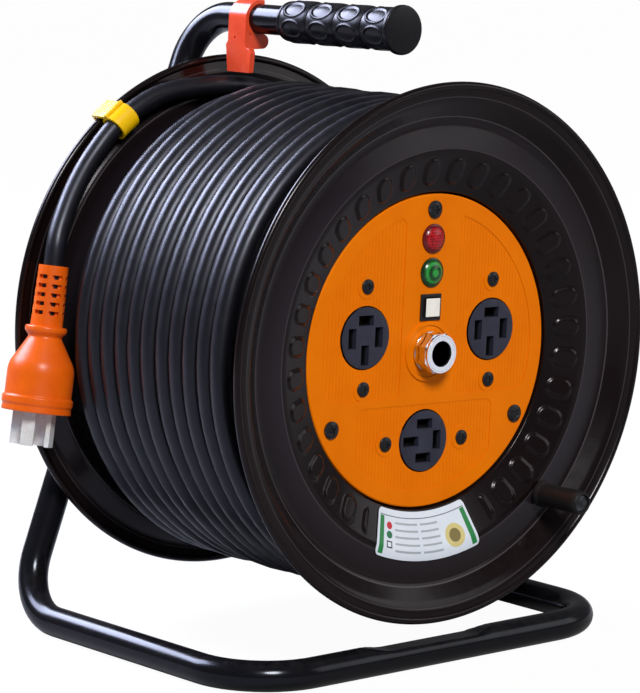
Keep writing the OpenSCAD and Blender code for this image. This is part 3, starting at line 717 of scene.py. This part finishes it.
def flange(name, inner, skip, mirrored_at=None):
    """A flange from its inner corners; the rear one is the front one mirrored at a depth."""
    outer = [
        (*cone_in, 0.8), (*cone_out, 1.2), (band_in, 8.7, 0.7), (141, 10.9, 1.4), (143.5, 10.8, 1.2),
        (band_out, 9.9, 0.9), (155.6, 3.1, 2.2), (160.5, 1.6, 1.6), (163.4, 1.35, 0),
    ]
    face = inner + outer
    front = sheet_face(face)
    behind = [(r + sheet_shift[0], y + sheet_shift[1], fillet) for r, y, fillet in face[:-2]]
    back = sheet_face(behind + [(163.5, 3.45, 0)])
    rolled = []
    for i in range(1, 24):
        a = math.radians(roll_from + (roll_to - roll_from) * i / 24)
        rolled.append((flange_r - bead_r + bead_r * math.cos(a), bead_r + bead_r * math.sin(a)))
    profile = front + rolled + back[::-1]
    profile.append(profile[0])
    piece = spun(name, profile, (0, 0), 18 * oval_count, 40)
    slope = Vector((cone_out[0] - cone_in[0], cone_out[1] - cone_in[1])).normalized()
    middle = (Vector(cone_in) + Vector(cone_out)) / 2
    for vertex in piece.data.vertices:
        place = (vertex.co - at(0, 0, 0)) / MM
        radius = math.hypot(place.x, place.z)
        on_cone = Vector((radius, place.y)) - middle
        along = on_cone.dot(slope)
        if abs(along) < oval_length / 2 + 2 and abs(on_cone.cross(slope)) < 3:
            angle = (math.degrees(math.atan2(place.x, place.z)) - panel_turn) % 360
            if abs(angle - 180) > skip:
                off = (angle / 360 * oval_count) % 1 - 0.5
                sideways = math.radians(off * 360 / oval_count) * radius
                end = max(abs(along) - (oval_length - oval_width) / 2, 0)
                inside = oval_width / 2 - math.hypot(end, sideways)
                t = min(1, max(0, inside / oval_edge + 0.5))
                rise = oval_rise * t * t * (3 - 2 * t) * MM
                outward = Vector((place.x, 0, place.z)).normalized()
                vertex.co += rise * (outward * slope.y + Vector((0, -slope.x, 0)))
    if mirrored_at is not None:
        piece.data.transform(
            Matrix.Translation((0, at(0, mirrored_at, 0).y, 0)) @ Matrix.Scale(-1, 4, (0, 1, 0))
            @ Matrix.Translation((0, -at(0, 0, 0).y, 0))
        )
        piece.data.flip_normals()
    return piece


def band(tree, value, low, high):
    """One between two limits, nothing outside them."""
    over, under = maths(tree, "GREATER_THAN", value, low), maths(tree, "LESS_THAN", value, high)
    return times(tree, over, under)


def round_axis(tree, middle):
    """A point's place across an axis that runs front to back, and its distance from the axis."""
    away = add(tree, "VectorMath", {0: own_place(tree), 1: middle}, operation="SUBTRACT").outputs[0]
    flat = add(tree, "VectorMath", {0: away, 1: (1, 0, 1)}, operation="MULTIPLY").outputs[0]
    return flat, add(tree, "VectorMath", {0: flat}, operation="LENGTH").outputs["Value"]


# The flange's lighter rubbed edges are partly wear and partly painted highlights on its pressed edges.
flange_paint = surface(
    "brown_black_paint", rgb(18, 10, 10), rgb(13, 7, 7), 0.22, size=22, grain=220, depth=0.03,
    bare=rgb(70, 44, 38), rub=0.6, dust=0.02, Specular_IOR_Level=0.24, Specular_Tint=(0.95, 0.92, 1.0, 1),
    Coat_Weight=0.08, Coat_Roughness=0.08,
)
tree = flange_paint.node_tree
shader = tree.nodes["Principled BSDF"]
distance = round_axis(tree, at(0, 0, 0))[1]
paint = shader.inputs["Base Color"].links[0].from_socket
# The greyer tone over the band is a painted reflection in the gloss paint. It is strongest at the band's
# inner edge and fades outwards.
fade = ramp(tree, distance, band_in * MM, band_out * MM, 0.8, 0.1)
sheen = times(tree, band(tree, distance, band_in * MM, band_out * MM), fade)
paint = mix(tree, sheen, paint, rgb(38, 34, 40))
# Thin lighter lines on the band's edges and near the rim are painted highlights on those edges.
rim_glint_r, glint_half = 158.6, 0.4
for ridge, strength in ((band_in, 0.5), (band_out, 0.7), (rim_glint_r, 0.4)):
    line = band(tree, distance, (ridge - glint_half) * MM, (ridge + glint_half) * MM)
    paint = mix(tree, times(tree, line, strength), paint, rgb(72, 66, 70))
tree.links.new(paint, shader.inputs["Base Color"])
place_piece(
    flange("front_flange_dressed", [(80, 23.5, 0), (98.4, 23.5, 0.6), (99.2, 18.3, 0.5)], label_gap),
    "drum", ("front_flange",), flange_paint,
)
place_piece(
    flange("rear_flange_dressed", [(16.2, 19.5, 0), (96, 19.5, 2.0)], -1, 222),
    "drum", ("rear_flange",), flange_paint,
)


# Drum core and rear bush: a rolled sheet cylinder between the flanges, and a nylon bush that runs
# on the axle. They lie under the cord and behind the flange and keep their solids.
def dress(node, material):
    """Puts a material on a solid that is shown as it is."""
    nodes[node].data.materials.clear()
    nodes[node].data.materials.append(material)


bare_steel = surface(
    "drum_steel", rgb(120, 122, 126), rgb(92, 94, 99), 0.42, spread=0.2, size=60, grain=800, depth=0.03,
    bare=rgb(160, 162, 166), rub=0.4, dust=0.1, Metallic=0.9,
)
dress("drum_core", bare_steel)
nylon = surface(
    "black_nylon", rgb(28, 28, 31), rgb(21, 21, 23), 0.48, spread=0.12, size=90, grain=1500, depth=0.03,
    bare=rgb(74, 74, 78), rub=0.3, dust=0.06, Specular_IOR_Level=0.35,
)
for node in ("rear_bush", "lamp_holders", "breaker_body", "cord_gland"):
    dress(node, nylon)


# Front panel: an orange moulded disc in the front flange's seat, with a boss round the axle nut and
# three shallow fields of fine upright ribs; the outlets, lamps, button and screws go through it. The
# bush in its middle runs on the axle and is moulded in the same orange.
def outline_plate(name, outline, y1, y2):
    """A flat shape in the panel's plane, drawn out from one depth to another."""
    mesh = bpy.data.meshes.new(name)
    mesh.from_pydata([at(x, y1, z) for x, z in outline], [], [list(range(len(outline)))])
    piece = new_piece(name, mesh)
    bpy.ops.object.mode_set(mode="EDIT")
    bpy.ops.mesh.select_all(action="SELECT")
    bpy.ops.mesh.extrude_region_move(TRANSFORM_OT_translate={"value": (0, (y2 - y1) * MM, 0)})
    bpy.ops.mesh.select_all(action="SELECT")
    bpy.ops.mesh.normals_make_consistent(inside=False)
    bpy.ops.object.mode_set(mode="OBJECT")
    return piece


def ring_outline(x, z, radius, count=64):
    """A circle round a place, in the panel's plane."""
    angles = [math.tau * i / count for i in range(count)]
    return [(x + radius * math.cos(a), z + radius * math.sin(a)) for a in angles]


def box_outline(x, z, wide, tall):
    """A rectangle round a place, in the panel's plane."""
    return [(x + wide / 2 * i, z + tall / 2 * k) for i, k in ((-1, -1), (1, -1), (1, 1), (-1, 1))]


def joined(pieces):
    """Several pieces made into the first of them."""
    bpy.ops.object.select_all(action="DESELECT")
    for piece in pieces:
        piece.select_set(True)
    bpy.context.view_layer.objects.active = pieces[0]
    bpy.ops.object.join()
    return pieces[0]


def turn_with_panel(piece):
    """The panel stands a little clockwise of upright."""
    axis, turn = at(0, 0, 0), Matrix.Rotation(math.radians(panel_turn), 4, "Y")
    piece.data.transform(Matrix.Translation(axis) @ turn @ Matrix.Translation(-axis))
    return piece


panel_r, panel_y, panel_t = 97.8, 19.5, 4
field_r, field_x, field_low, low_field_x, field_depth = 87, 22, -28, 56, 0.45
rib_pitch, rib_width, rib_rise = 2.7, 1.4, 0.14
outlet_r, screw_reach = 19, 31.6
outlets = ((-52, 11), (52, 11), (0, -56))
outlet_screws = [(x, z + s * screw_reach) for x, z in outlets[:2] for s in (1, -1)]
outlet_screws += [(s * screw_reach, outlets[2][1]) for s in (1, -1)]
panel_screw_r = 88
panel_screws = [
    (panel_screw_r * math.sin(a), panel_screw_r * math.cos(a)) for a in (math.tau * i / 3 for i in range(3))
]
lamp_heights, button_height = (70, 49), 27.5

boss_in, boss_out, boss_y = 16.2, 18.9, panel_y - 1.2
panel = spun("front_panel_dressed", filleted([
    (0, panel_y, 0), (boss_in, panel_y, 0), (boss_in, boss_y, 0.3), (boss_out, boss_y, 0.8),
    (boss_out, panel_y, 0.5), (panel_r, panel_y, 1.6), (panel_r, panel_y + panel_t, 0.3),
    (0, panel_y + panel_t, 0),
]), (0, 0), 192)


def field_outline(start, end, corners):
    """A field with a round side between two angles and filleted corners, as a closed outline."""
    angles = [math.radians(a) for a in range(start, end, 2)]
    outline = [(field_r * math.sin(a), field_r * math.cos(a), 0) for a in angles] + corners
    return filleted(outline + [outline[0]])[:-1]


upper_field = field_outline(17, 103, [(80, field_low, 8), (field_x, field_low, 5), (field_x, 80.5, 3)])
lower_field = field_outline(142, 220, [
    (-low_field_x, -66, 5), (-low_field_x, -33, 5), (low_field_x, -33, 5), (low_field_x, -66, 5),
])
fields = joined([
    outline_plate("field", outline, panel_y - 3, panel_y + field_depth)
    for outline in (upper_field, [(-x, z) for x, z in upper_field], lower_field)
])
hub_hole_r, outlet_gap, lamp_hole_r, button_hole, pad_r = 16.1, 0.8, 8.5, 14.2, 7.5
outlet_screw_hole_r, panel_screw_hole_r = 2.2, 2.7
hole_depths = (panel_y - 6, panel_y + panel_t + 4)
hole_outlines = (
    [ring_outline(0, 0, hub_hole_r, 96)]
    + [ring_outline(x, z, outlet_r + outlet_gap, 96) for x, z in outlets]
    + [ring_outline(x, z, outlet_screw_hole_r, 24) for x, z in outlet_screws]
    + [ring_outline(x, z, panel_screw_hole_r, 24) for x, z in panel_screws]
    + [ring_outline(0, z, lamp_hole_r, 64) for z in lamp_heights]
    + [box_outline(0, button_height, button_hole, button_hole)]
)
holes = joined([outline_plate("hole", outline, *hole_depths) for outline in hole_outlines])
pads = joined([outline_plate("pad", ring_outline(x, z, pad_r, 40), *hole_depths) for x, z in outlet_screws])
carve(fields, pads, "DIFFERENCE")
carve(panel, fields, "DIFFERENCE")
carve(panel, holes, "DIFFERENCE")
merge_faces(panel)
ease_edges(panel, 0.3, 2, 40)
rib_count = round(2 * field_r / rib_pitch)
ribs = joined([
    outline_plate(
        "panel_ribs", box_outline((i - rib_count / 2) * rib_pitch, 0, rib_width, 2 * field_r),
        panel_y + field_depth - rib_rise, panel_y + field_depth + 1,
    )
    for i in range(rib_count + 1)
])
carve(ribs, fields, "INTERSECT")
carve(ribs, holes, "DIFFERENCE")
ease_edges(ribs, 0.1, 1, 40)
for tool in (fields, holes, pads):
    bpy.data.objects.remove(tool)
orange = surface(
    "orange_panel", rgb(233, 119, 1), rgb(226, 112, 0), 0.40, size=34, grain=1500,
    dust=0.01, Specular_IOR_Level=0.2, Specular_Tint=(1.0, 0.62, 0.16, 1),
)
place_piece(turn_with_panel(panel), "drum", ("front_panel",), orange)
place_piece(turn_with_panel(ribs), "drum", (), orange)
dress("front_bush", orange)

# Screws: cross-recessed steel screws with domed heads, blackened; three hold the panel and two
# hold each outlet.
black_oxide = surface(
    "black_oxide", rgb(22, 22, 24), rgb(16, 16, 18), 0.34, spread=0.14, size=200, grain=2500, depth=0.015,
    bare=rgb(96, 98, 104), rub=0.5, dust=0.03, Specular_IOR_Level=0.45, Specular_Tint=(0.85, 0.9, 1.0, 1),
)
for node in ("panel_screws", "outlet_screws"):
    dressed(node, "drum", black_oxide, 0.35, 2, 24)

# Outlets: three blue-grey moulded sockets clamped behind the panel with a small gap round them. Each
# has four slots at the bottom of wider recesses, and brass spring clips inside the slots. The recess
# bottoms, the slots and the sockets' sides seen through the gap are a near-black painted shade.
outlet_grey = surface(
    "outlet_plastic", rgb(49, 51, 66), rgb(42, 44, 57), 0.42, size=80, grain=1800,
    dust=0.02, Specular_IOR_Level=0.3,
)
brass = surface(
    "contact_brass", rgb(206, 168, 84), rgb(176, 138, 62), 0.34, spread=0.16, size=240, grain=2600,
    depth=0.015, bare=rgb(230, 198, 120), rub=0.4, Metallic=1.0,
)
# The faces from the recess bottoms backwards get a near-black plastic, a painted shade.
outlet_painted_shade = surface(
    "outlet_painted_shade", rgb(9, 9, 11), rgb(5, 5, 7), 0.6, size=80, grain=1800,
    Specular_IOR_Level=0.1,
)
slot_at, outlet_front, recess_depth = 10.7, panel_y - 0.5, 3.5
recesses = [(0, slot_at, 12, 6.4)]
recesses += [(u, v, 6.2, 12.6) for u, v in ((-slot_at, 0), (slot_at, 0), (0, -slot_at))]
for side, (x, z), turned in zip(("left", "right", "bottom"), outlets, (False, False, True)):
    piece = eased_copy(f"outlet_{side}", 0.35)
    cuts = []
    for u, v, wide, tall in recesses:
        if turned:
            u, v, wide, tall = v, -u, tall, wide
        outline = box_outline(x + u, z + v, wide, tall)
        cuts.append(outline_plate("recess", outline, outlet_front - 1, outlet_front + recess_depth))
    cuts = turn_with_panel(joined(cuts))
    carve(piece, cuts, "DIFFERENCE")
    bpy.data.objects.remove(cuts)
    place_piece(piece, "drum", (f"outlet_{side}",), outlet_grey)
    piece.data.materials.append(outlet_painted_shade)
    for face in piece.data.polygons:
        face.material_index = int(face.center.y > at(0, outlet_front + recess_depth - 0.1, 0).y)
    dress(f"outlet_{side}_contacts", brass)


# Lamps: domed lenses of clear coloured plastic, snapped in the panel over their holders, the red one
# with a faceted back and the green one with moulded rings.
def on_panel(x, z):
    """A place on the turned panel, as x and z."""
    a = math.radians(panel_turn)
    return x * math.cos(a) + z * math.sin(a), z * math.cos(a) - x * math.sin(a)


def lens_glass(name, deep, bright, middle, facets):
    """Coloured clear plastic, drawn opaque: the light and shade that the pattern on the back gives through
    the lens are painted into its colour, and its rim is a darker painted shade.
    """
    material, tree, shader = new_material(name)
    flat, distance = round_axis(tree, at(middle[0], panel_y, middle[1]))
    cells = add(tree, "TexVoronoi", {"Vector": flat, "Scale": 560.0, "Randomness": 0.35}, feature="F1")
    ring = ramp(tree, maths(tree, "SINE", times(tree, distance, 1250.0)), -0.6, 1.0)
    glint = ramp(tree, cells.outputs["Distance"], 0.2, 0.62)
    pattern = maths(tree, "ADD", times(tree, glint, facets), times(tree, ring, 1 - facets))
    # The rim turns to the deep colour, a painted shade round the edge of the lens.
    rim = ramp(tree, distance, 5.8 * MM, 7.9 * MM)
    colour = mix(tree, rim, mix(tree, pattern, deep, bright), deep)
    tree.links.new(colour, shader.inputs["Base Color"])
    cloud = use(tree, "mottle", {"Size": 300.0, "Amount": 1.0})["Mask"]
    tree.links.new(ramp(tree, cloud, 0.0, 1.0, 0.20, 0.32), shader.inputs["Roughness"])
    relief = add(tree, "Bump", {"Height": pattern, "Strength": 0.25, "Distance": 0.2 * MM})
    tree.links.new(relief.outputs[0], shader.inputs["Normal"])
    shader.inputs["Coat Weight"].default_value = 0.12
    shader.inputs["Coat Roughness"].default_value = 0.06
    return material


lens_back = 30
lens_profile = [(radius, panel_y - rise) for radius, rise in (
    (0, 4), (1.5, 3.96), (3, 3.8), (4.4, 3.45), (5.6, 3), (6.6, 2.45), (7.4, 1.8), (8.0, 1.2), (9.0, 1.0),
    (9.2, 0.7), (9.2, 0.05), (8.3, 0.05),
)] + [(8.3, lens_back), (0, lens_back)]
for name, height, deep, bright, facets in (
    ("red_lens", lamp_heights[0], rgb(92, 3, 8), rgb(196, 14, 30), 0.85),
    ("green_lens", lamp_heights[1], rgb(5, 44, 14), rgb(44, 160, 66), 0.15),
):
    middle = on_panel(0, height)
    lens = spun(name + "_dressed", lens_profile, middle, 64)
    place_piece(lens, "drum", (name,), lens_glass(name + "_plastic", deep, bright, middle, facets))

# Reset button: a black push cap with a white top in a square black bezel, over the breaker behind
# the panel.
dressed("button_bezel", "drum", nylon, 0.35)
cap_white = surface(
    "white_plastic", rgb(244, 242, 234), rgb(234, 231, 222), 0.32, spread=0.08, size=160, grain=2000,
    depth=0.015, bare=rgb(252, 251, 246), rub=0.3, dust=0.05, Subsurface_Weight=0.05, Subsurface_Scale=0.001,
)
button = dressed("reset_button", "reset_button", cap_white, 0.5, 3)
button.data.materials.append(nylon)
for face in button.data.polygons:
    face.material_index = int(face.normal.y > -0.4)

# Wiring inside the drum: the end of the cord comes through the gland and its leads run to the
# breaker and the outlets.
inner_route = ((200, 112, 100), (200, 98, 100), (200, 70, 100), (205, 46, 88), (210, 40, 60))
inner_line = smooth_line([round_drum(*place) for place in inner_route], 8)
inner_cord = swept("inner_cord_run", inner_line, cord_d, 20)
place_piece(inner_cord, "drum", ("inner_cord",), cord_rubber)
lead_routes = (
    ((12, 56, -36), (-14, 57, -34), (-38, 59, -20), (-52, 58, -4), (-52, 52, 2), (-52, 46.6, 2)),
    ((18, 56, -36), (34, 57, -32), (48, 59, -18), (54, 58, -4), (54, 52, 2), (54, 46.6, 2)),
    ((15, 56, -42), (12, 57, -48), (6, 58, -54), (0, 56, -56), (0, 51, -56), (0, 46.6, -56)),
    ((20, 56, -31), (30, 58, -14), (31, 65, 6), (24, 70, 22), (12, 70, 27), (10, 66, 27), (10, 61.6, 27)),
)
lead_d = 4
lead_lines = [smooth_line([at(*place) for place in route], 6) for route in lead_routes]
leads = joined([swept("inner_leads_run", line, lead_d, 12) for line in lead_lines])
lead_red = surface(
    "lead_insulation", rgb(140, 58, 46), rgb(118, 46, 36), 0.4, size=120, grain=1500,
    dust=0.06,
)
place_piece(leads, "drum", ("inner_leads",), lead_red)


# Rating label: a white printed film stuck on the cone under the panel, with round corners and a
# generic print of bars, rules, dots, a square and a disc.
label_at, label_half, label_corner = 177, 20, 3
label_line = [Vector(place) for place in (
    (100.2, 17.92), cone_in, (122.6, 9.35), (123.4, 9.15), (127, 8.7), (129.4, 8.8),
)]
label_runs = [0.0]
for a, b in zip(label_line, label_line[1:]):
    label_runs.append(label_runs[-1] + (b - a).length)
label_height = label_runs[-1]
label_mid_r, label_clear, film_t = 115, 0.45, 0.3
label_long = math.radians(2 * label_half) * label_mid_r


def on_label(along, up):
    """A place on the label's face by its distance along it and up it."""
    for a, b, low, high in zip(label_line, label_line[1:], label_runs, label_runs[1:]):
        if up <= high + 1e-9:
            break
    radius, y = a.lerp(b, (up - low) / (high - low))
    angle = label_at - label_half + 2 * label_half * along / label_long
    return round_drum(angle, radius, y - label_clear)


columns, rows = 96, 24
corners, prints, faces = [], [], []
for i in range(columns + 1):
    along = label_long * i / columns
    near_end = max(0, label_corner - min(along, label_long - along))
    inset = label_corner - math.sqrt(label_corner ** 2 - near_end ** 2)
    for j in range(rows + 1):
        up = inset + (label_height - 2 * inset) * j / rows
        corners.append(on_label(along, up))
        prints.append((along / label_long, 1 - up / label_height))
        if i < columns and j < rows:
            k = i * (rows + 1) + j
            faces.append((k, k + rows + 1, k + rows + 2, k + 1))
mesh = bpy.data.meshes.new("rating_label_dressed")
mesh.from_pydata(corners, [], faces)
uv = mesh.uv_layers.new(name="print")
for loop in mesh.loops:
    uv.data[loop.index].uv = prints[loop.vertex_index]
label = new_piece("rating_label_dressed", mesh)
film = label.modifiers.new("film", "SOLIDIFY")
film.thickness = film_t * MM
film.offset = -1
bpy.ops.object.modifier_apply(modifier="film")
bpy.ops.object.mode_set(mode="EDIT")
bpy.ops.mesh.select_all(action="SELECT")
bpy.ops.mesh.normals_make_consistent(inside=False)
bpy.ops.object.mode_set(mode="OBJECT")
bpy.ops.object.shade_smooth_by_angle(angle=math.radians(40))
film_white = rgb(216, 224, 235)
printed = surface(
    "label_film", film_white, rgb(208, 217, 229), 0.34, size=60, grain=1200, depth=0.01, dust=0.04,
)
tree = printed.node_tree
spot = add(tree, "SeparateXYZ", {0: add(tree, "UVMap", uv_map="print").outputs[0]}).outputs
across_label, up_label = spot["X"], spot["Y"]
shader = tree.nodes["Principled BSDF"]


def block(low, high, under, over):
    """One inside a rectangle of the print, nothing outside it."""
    return times(tree, band(tree, across_label, low, high), band(tree, up_label, under, over))


ink = shader.inputs["Base Color"].links[0].from_socket
bar_green, rule_grey = rgb(28, 122, 62), rgb(96, 104, 112)
line_grey, square_dark = rgb(126, 132, 138), rgb(40, 44, 52)
for low, high, under, over, colour in (
    (0.022, 0.068, 0.05, 0.84, bar_green), (0.932, 0.978, 0.05, 0.84, bar_green),
    (0.022, 0.978, 0.85, 0.87, rule_grey),
):
    ink = mix(tree, block(low, high, under, over), ink, colour)
lines = maths(tree, "LESS_THAN", maths(tree, "FRACT", times(tree, up_label, 7.0)), 0.3)
for low, high in ((0.19, 0.44), (0.47, 0.66)):
    ink = mix(tree, times(tree, times(tree, block(low, high, 0.10, 0.80), lines), 0.7), ink, line_grey)
square_height = 0.27
for low, high, colour in ((0.100, 0.156, square_dark), (0.110, 0.146, film_white)):
    tall = (high - low) * label_long / label_height / 2
    ink = mix(tree, block(low, high, square_height - tall, square_height + tall), ink, colour)
for middle, height, radius, colour in (
    (0.128, 0.66, 2.4, rgb(190, 18, 44)), (0.128, 0.47, 2.4, rgb(14, 104, 66)),
    (0.80, 0.38, 7.6, rgb(204, 190, 124)), (0.80, 0.38, 4.4, rgb(120, 106, 56)),
):
    sideways = times(tree, maths(tree, "SUBTRACT", across_label, middle), label_long)
    upright = times(tree, maths(tree, "SUBTRACT", up_label, height), label_height)
    squares = maths(tree, "ADD", maths(tree, "POWER", sideways, 2.0), maths(tree, "POWER", upright, 2.0))
    ink = mix(tree, maths(tree, "LESS_THAN", maths(tree, "SQRT", squares), radius), ink, colour)
tree.links.new(ink, shader.inputs["Base Color"])
place_piece(label, "drum", ("rating_label",), printed)

# Winding knob: a matt black moulded handle that turns on a shoulder bolt through the front flange,
# held by a nut behind.
knob_at, knob_angle, knob_r, knob_front, knob_back = 133, math.radians(137.7), 7.8, -30, 7.4
knob_middle = (knob_at * math.sin(knob_angle), knob_at * math.cos(knob_angle))
knob_bore, sink_r, sink_y = 3.08, 5.4, knob_front + 5
knob_profile = filleted([
    (knob_bore, knob_back, 0), (knob_r + 0.6, knob_back, 0.6), (knob_r + 0.4, knob_back - 2.4, 0.8),
    (knob_r - 0.3, knob_back - 4, 2), (knob_r - 0.5, -8, 8), (knob_r, knob_front + 2.4, 4),
    (knob_r - 1.2, knob_front, 1.6), (sink_r, knob_front, 0.5), (sink_r, sink_y, 0.2),
    (knob_bore, sink_y, 0.2), (knob_bore, knob_back, 0),
])
knob = spun("winding_knob_dressed", knob_profile, knob_middle, 72)
knob_black = surface(
    "knob_plastic", rgb(24, 23, 25), rgb(18, 18, 19), 0.5, spread=0.12, size=110, grain=1300, depth=0.04,
    bare=rgb(60, 60, 64), rub=0.35, dust=0.05, Specular_IOR_Level=0.28,
)
place_piece(knob, "winding_knob", ("winding_knob",), knob_black)
for node in ("knob_bolt", "knob_nut"):
    dress(node, black_oxide)

# Cord clip: a yellow nylon band that snaps round the cord and hooks over the rear rim, with a
# raised lip along the top of the band.
clip_yellow = surface(
    "yellow_plastic", rgb(246, 198, 4), rgb(238, 186, 0), 0.36, size=90, grain=1500,
    bare=rgb(255, 230, 100), rub=0.3, dust=0.03, Specular_IOR_Level=0.3,
    Subsurface_Weight=0.05, Subsurface_Scale=0.001,
)
lip_d, lip_start, lip_step, lip_r, lip_y = 2.6, 33.4, 0.4, 170.6, 209.5
clip = eased_copy("cord_clip", 0.4)
lip_line = [round_drum(lip_start + lip_step * i, lip_r, lip_y) for i in range(14)]
clip = joined([clip, swept("clip_lip", lip_line, lip_d)])
place_piece(clip, "cord_end", ("cord_clip",), clip_yellow)

# Plug: an orange rubber moulding on the end of the cord, with a windowed strain relief that shows
# the sheath, a cone-shaped body with a stepped rim, and four plated blades.
plug_rubber = surface(
    "plug_rubber", rgb(228, 98, 12), rgb(218, 86, 4), 0.34, spread=0.12, size=50, grain=1400, depth=0.03,
    bare=rgb(244, 150, 70), rub=0.3, dust=0.03, Specular_IOR_Level=0.3,
)
plug_turned = Vector((0, 1, 0)).rotation_difference(plug_way).to_matrix().to_4x4()
to_plug = Matrix.Translation(plug_start) @ plug_turned @ Matrix.Translation(-at(0, 0, 0))
relief_length, plug_length, sheath_r = 38, 92, 7.35
relief = dressed("plug_relief", "cord_end", plug_rubber, 0.4)
sheath = spun("sheath_in_relief", filleted([
    (0, 1, 0), (sheath_r, 1, 0.5), (sheath_r, relief_length - 1, 0.5), (0, relief_length - 1, 0),
]), (0, 0), 48)
sheath.data.transform(to_plug)
place_piece(sheath, "cord_end", (), cord_rubber)
body_corners = [(radius, relief_length + y, fillet) for radius, y, fillet in (
    (0, 0, 0), (13.2, 0, 1.6), (13.2, 3.4, 1.2), (10.3, 6.6, 1.6), (11.2, 8.4, 1.4), (20.0, 23.5, 4),
    (21, 28, 4), (21, 44, 0.6), (22.3, 44.8, 0.6), (22.3, 49, 0.9), (21.5, 50, 0.5),
)] + [(22, plug_length, 0.9), (0, plug_length, 0)]
body = spun("plug_body_dressed", filleted(body_corners), (0, 0), 96)
body.data.transform(to_plug)
place_piece(body, "cord_end", ("plug_body",), plug_rubber)
nickel = surface(
    "blade_nickel", rgb(232, 236, 240), rgb(214, 214, 212), 0.24, spread=0.16, size=180, grain=1800,
    bare=rgb(196, 160, 104), rub=0.3, Metallic=0.15,
)
blades = dressed("plug_blades", "cord_end", nickel, 0.35)
